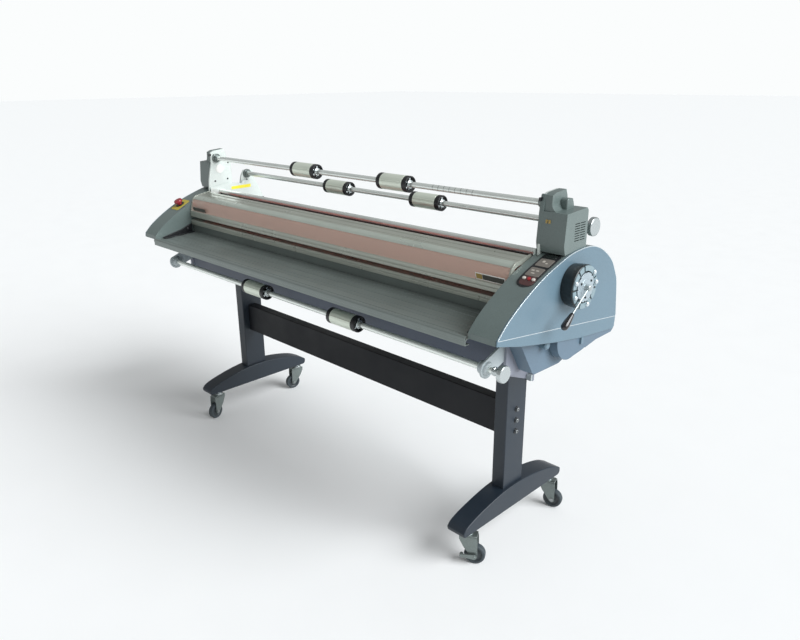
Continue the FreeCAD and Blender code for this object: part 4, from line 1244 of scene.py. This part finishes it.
@dataclass
class Chuck:
    """A core chuck that slides on a shaft."""

    label: str
    axis: Pair
    x: float
    banded: bool = False
    radius: float = 28.5
    length: float = 148.0
    ring: float = 20.0
    bore: float = 10.2
    stripe_turn: float = 158.0

    def build(self) -> None:
        """Make the sleeve, the end rings and the expanding jaws."""
        r = self.radius
        start, stop = self.x - self.length / 2 + self.ring, self.x + self.length / 2 - self.ring
        sleeve = Blank().turned([(start, r - 5), (start, r - 0.2), (stop, r - 0.2), (stop, r - 5)], self.axis, 64)
        for turn in (40, 160, 280):
            sleeve.rod(start + 3, stop - 3, polar(self.axis, r - 1.4, turn), 2.4, 12)
        piece(self.label + "_sleeve", sleeve, CHUCK_SLEEVE, self.label, (self.label,), 0.6)
        if self.banded:
            turn = Matrix.Translation((0, *self.axis)) @ spun(self.stripe_turn, "X")
            piece(self.label + "_stripe", Blank().block((start + 4, r - 2, -0.9), (stop - 4, r + 0.2, 0.9), turn),
                  STRIPE_RED, self.label, (), 0)
        self.ends()

    def ends(self) -> None:
        """Black end rings, and the nickel jaws that grip the core from inside them."""
        r, half, inner, bore = self.radius, self.length / 2, self.length / 2 - self.ring, self.bore
        rings, jaws = Blank(), Blank()
        for sign in (-1, 1):
            flip = Matrix.Translation((self.x, 0, 0)) @ Matrix.Scale(sign, 4, X_AXIS)
            rings.turned([(inner, r - 8), (inner, r - 0.6), (inner + 1, r), (half - 3, r), (half - 0.6, r - 2),
                          (half - 0.6, r - 5), (half - 6, r - 6.5), (half - 6, r - 8)], self.axis, 64, flip)
            rings.turned([(half - 14, bore), (half - 14, r - 7), (half - 11, r - 7), (half - 11, bore)], self.axis,
                         48, flip)
            jaws.turned([(half - 16, bore), (half - 16, 16), (half - 1.5, 15), (half - 0.4, 13.4),
                         (half - 0.4, bore)], self.axis, 40, flip)
            for turn in (90, 210, 330):
                spoke = flip @ Matrix.Translation((0, *self.axis)) @ spun(turn, "X")
                jaws.block((half - 11, 13, -3.4), (half - 4.4, r - 7, 3.4), spoke)
                jaws.turned([(half - 12, 0), (half - 12, 2.6), (half - 8, 2.4), (half - 7.4, 0)],
                            polar(self.axis, 17, turn + 60), 16, flip)
        piece(self.label + "_rings", rings, ABS_BLACK, self.label, (), 0.5)
        piece(self.label + "_jaws", jaws, NICKEL, self.label, (), 0.4)


@dataclass
class Shield:
    """Clear hinged guard over the nip, the rails along it, and the idler behind it."""

    half: float = 880.0
    idler: Pair = (-30.0, 1052.0)
    hinge: Pair = (-95.0, 1043.0)
    label_foot: Pair = (-196.6, 985.5)
    label_lean: float = math.degrees(math.atan2(14, 46))

    def build(self) -> None:
        """Make the guard and the idler."""
        half = self.half
        outer = curve_through([(-196, 983), (-190, 1006), (-182, 1029), (-172, 1040), (-158, 1045.5),
                               (-150, 1047)], 4)
        pane = Blank().prism(outer + [(y + 3.0, z - 2.0) for y, z in outer[::-1]], -half, half)
        piece("guard_pane", pane, ACRYLIC, "shield", ("shield_window",), 0)
        top = Blank().prism([(-156, 1044), (-156, 1047), (-150, 1049), (-146, 1048.6), (-144, 1050.4),
                             (-124, 1053.2), (-122, 1051.8), (-118, 1052.4), (-116, 1054.8), (-102, 1057.4),
                             (-100.5, 1056), (-100.5, 1051.6), (-144, 1042.6)], 1 - half, half - 1)
        piece("guard_top_rail", top, RAIL_ALUMINIUM, "shield", (), 0.4)
        # A pale strip on the bend of the pane: a painted reflection of the sky on the curved acrylic.
        bend = curve_through([(-179.6, 1034.4), (-172.6, 1040.8), (-158.3, 1046.3), (-150, 1048)], 4)
        reflection_strip = Blank().prism(bend + [(y + 1.2, z - 1.6) for y, z in bend[::-1]], 0.5 - half, half - 0.5)
        piece("guard_bend_reflection", reflection_strip, SKY_REFLECTION_STRIP, "shield", (), 0)
        rail = Blank().prism([(-199, 958), (-199, 968), (-197.6, 969.4), (-199, 971), (-199, 981), (-196.4, 983.6),
                              (-191.6, 983.6), (-188, 980), (-188, 957), (-198, 957)], -half - 5.6, half + 5.6)
        piece("guard_lower_rail", rail, RAIL_ALUMINIUM, "shield", ("shield_rail",), 0.5)
        end = curve_through([(-197, 983), (-190, 1010), (-181, 1034), (-168, 1045), (-151, 1049.4), (-98, 1058.4),
                             (-88, 1056)], 3)
        end += [(-88, 1036), (-102, 1035.4), (-148, 1036), (-168, 1028), (-186, 983)]
        for side in Side:
            cap = Blank().prism(end, *side.span(half, half + 5.8)).rod(*side.span(half, 901.5), self.hinge, 4.0)
            piece("guard_cap_" + side.word, cap, RAIL_ALUMINIUM, "shield", (), 0.8)
        self.labels()
        bar = Blank().turned([(-902, 0), (-902, 6), (-886.5, 6), (-886.5, 9), (-885.5, 10), (885.5, 10), (886.5, 9),
                              (886.5, 6), (902, 6), (902, 0)], self.idler, 48)
        piece("idler", bar, CHROME, "idler_bar", ("idler_bar",), 0.2)
        piece("idler_stay", Blank().prism([(-35, 1033), (-35, 1041.4), (-25, 1041.4), (-25, 1033)], -886.0, 886.0),
              RING_DARK, "frame", (), 0.8)

    def labels(self) -> None:
        """Plain unprinted labels on the lower edge of the pane."""
        right, left = (Matrix.Translation((x, *self.label_foot)) @ spun(self.label_lean, "X")
                       for x in (770.0, -852.0))
        for name, base, start, stop, inset, finish in (
                ("ground_right", right, 0.0, 108.0, (-0.6, 0.2, 0.0, 22.0), LABEL_WHITE),
                ("patch_right", right, 2.5, 25.0, (-1.0, 0.0, 2.5, 19.5), LABEL_GOLD),
                ("field_right", right, 26.5, 105.5, (-1.0, 0.0, 2.5, 19.5), LABEL_DARK),
                ("patch_left", left, 0.0, 30.0, (-1.0, 0.0, 2.5, 19.5), LABEL_DARK),
                ("field_left", left, 33.0, 102.0, (-1.0, 0.0, 2.5, 19.5), LABEL_DARK)):
            front, back, low, high = inset
            piece("label_" + name, Blank().block((start, front, low), (stop, back, high), base), finish, "shield",
                  (), 0)


# ---- studio -----------------------------------------------------------------------------------------
@dataclass
class Studio:
    """Floor, soft light and camera."""

    eye: Triple = (2.0127, -1.7559, 1.5452)
    yaw: float = 45.037
    pitch: float = 19.140
    roll: float = 0.384
    focal: float = 31.435
    sensor: float = 36.0
    floor_half: float = 60.0      # metres
    sky: float = 0.36             # strength of the light from the sky
    backdrop: float = 1.0         # strength of the sky as it is seen
    window: float = 4.2
    window_from: Triple = (0.80, 0.20, 0.57)
    window_spread: float = 48.0

    def build(self) -> None:
        """Make the floor, the light and the camera."""
        self.floor()
        self.surroundings()
        self.lamp("window", Vector(self.window_from), self.window, self.window_spread, "#F9FBFD")
        settings = bpy.context.scene.view_settings
        settings.view_transform, settings.look = "Standard", "None"
        self.camera()

    def floor(self) -> None:
        """Lay the plain pale floor."""
        data = bpy.data.meshes.new("floor")
        ground = bmesh.new()
        bmesh.ops.create_grid(ground, x_segments=1, y_segments=1, size=self.floor_half)
        ground.to_mesh(data)
        ground.free()
        data.materials.append(FLOOR_PALE.material())
        floor = bpy.data.objects.new("floor", data)
        bpy.context.scene.collection.objects.link(floor)

    def surroundings(self) -> None:
        """Light the room evenly from a pale sky, which is seen brighter than it lights."""
        world = bpy.data.worlds.new("studio_sky")
        bpy.context.scene.world = world
        world.use_nodes = True
        back = world.node_tree.nodes["Background"]
        back.inputs["Color"].default_value = linear("#FBFDFD")
        seen = add(world.node_tree, "ShaderNodeLightPath").outputs["Is Camera Ray"]
        level = add(world.node_tree, "ShaderNodeMapRange", {0: seen, 3: self.sky, 4: self.backdrop})
        world.node_tree.links.new(level.outputs[0], back.inputs["Strength"])

    def lamp(self, name: str, toward: Vector, power: float, spread: float, colour: str) -> None:
        """Add a broad, even light from one direction.

        Args:
            name: its name.
            toward: the direction that it shines from.
            power: its strength.
            spread: its angular size in degrees, which softens the shadows.
            colour: the colour of its light.
        """
        data = bpy.data.lights.new(name, "SUN")
        data.energy, data.angle = power, math.radians(spread)
        data.color = linear(colour)[:3]
        lamp = bpy.data.objects.new(name, data)
        lamp.location = toward * 5.0
        lamp.rotation_euler = toward.to_track_quat("Z", "Y").to_euler()
        bpy.context.scene.collection.objects.link(lamp)

    def camera(self) -> None:
        """Stand the camera at the front of the control end, at standing height."""
        yaw, pitch, roll = (math.radians(a) for a in (self.yaw, self.pitch, self.roll))
        ahead = Vector((-math.sin(yaw) * math.cos(pitch), math.cos(yaw) * math.cos(pitch), -math.sin(pitch)))
        level = Vector((math.cos(yaw), math.sin(yaw), 0.0))
        down = ahead.cross(level)
        across = math.cos(roll) * level + math.sin(roll) * down
        below = -math.sin(roll) * level + math.cos(roll) * down
        data = bpy.data.cameras.new("camera")
        data.lens, data.sensor_width = self.focal, self.sensor
        camera = bpy.data.objects.new("camera", data)
        turn = Matrix((across, -below, -ahead)).transposed().to_4x4()
        camera.matrix_world = Matrix.Translation(self.eye) @ turn
        bpy.context.scene.collection.objects.link(camera)
        bpy.context.scene.camera = camera


CASTERS = (("front_left", (-776.0, -211.0), -75.0), ("front_right", (776.0, -211.0), 30.0),
           ("rear_left", (-776.0, 258.0), -100.0), ("rear_right", (776.0, 258.0), 15.0))


def main() -> None:
    """Build the machine piece by piece, then the studio."""
    arch = Arch()
    shafts = SupplyShafts()
    parts: list = [Stand(), MachineFrame(), Cabinets(arch), ShaftHousings(), Controls(arch), Selector(),
                   Rollers(), shafts, Shield()]
    parts += [Caster(label, at, turn, label.startswith("front")) for label, at, turn in CASTERS]
    for line, axis, places in (("upper_front", shafts.upper_front, (-226.0, 275.0)),
                               ("upper_rear", shafts.upper_rear, (-216.0, 283.0)),
                               ("lower", shafts.lower, (-248.0, 280.0))):
        for tag, x in zip("ab", places):
            label = f"{line}_chuck_{tag}"
            parts.append(Chuck(label, axis, x, label == "lower_chuck_b"))
    for part in parts:
        LOG.info("-- %s", type(part).__name__)
        part.build()
    Studio().build()


if __name__ == "__main__":
    main()
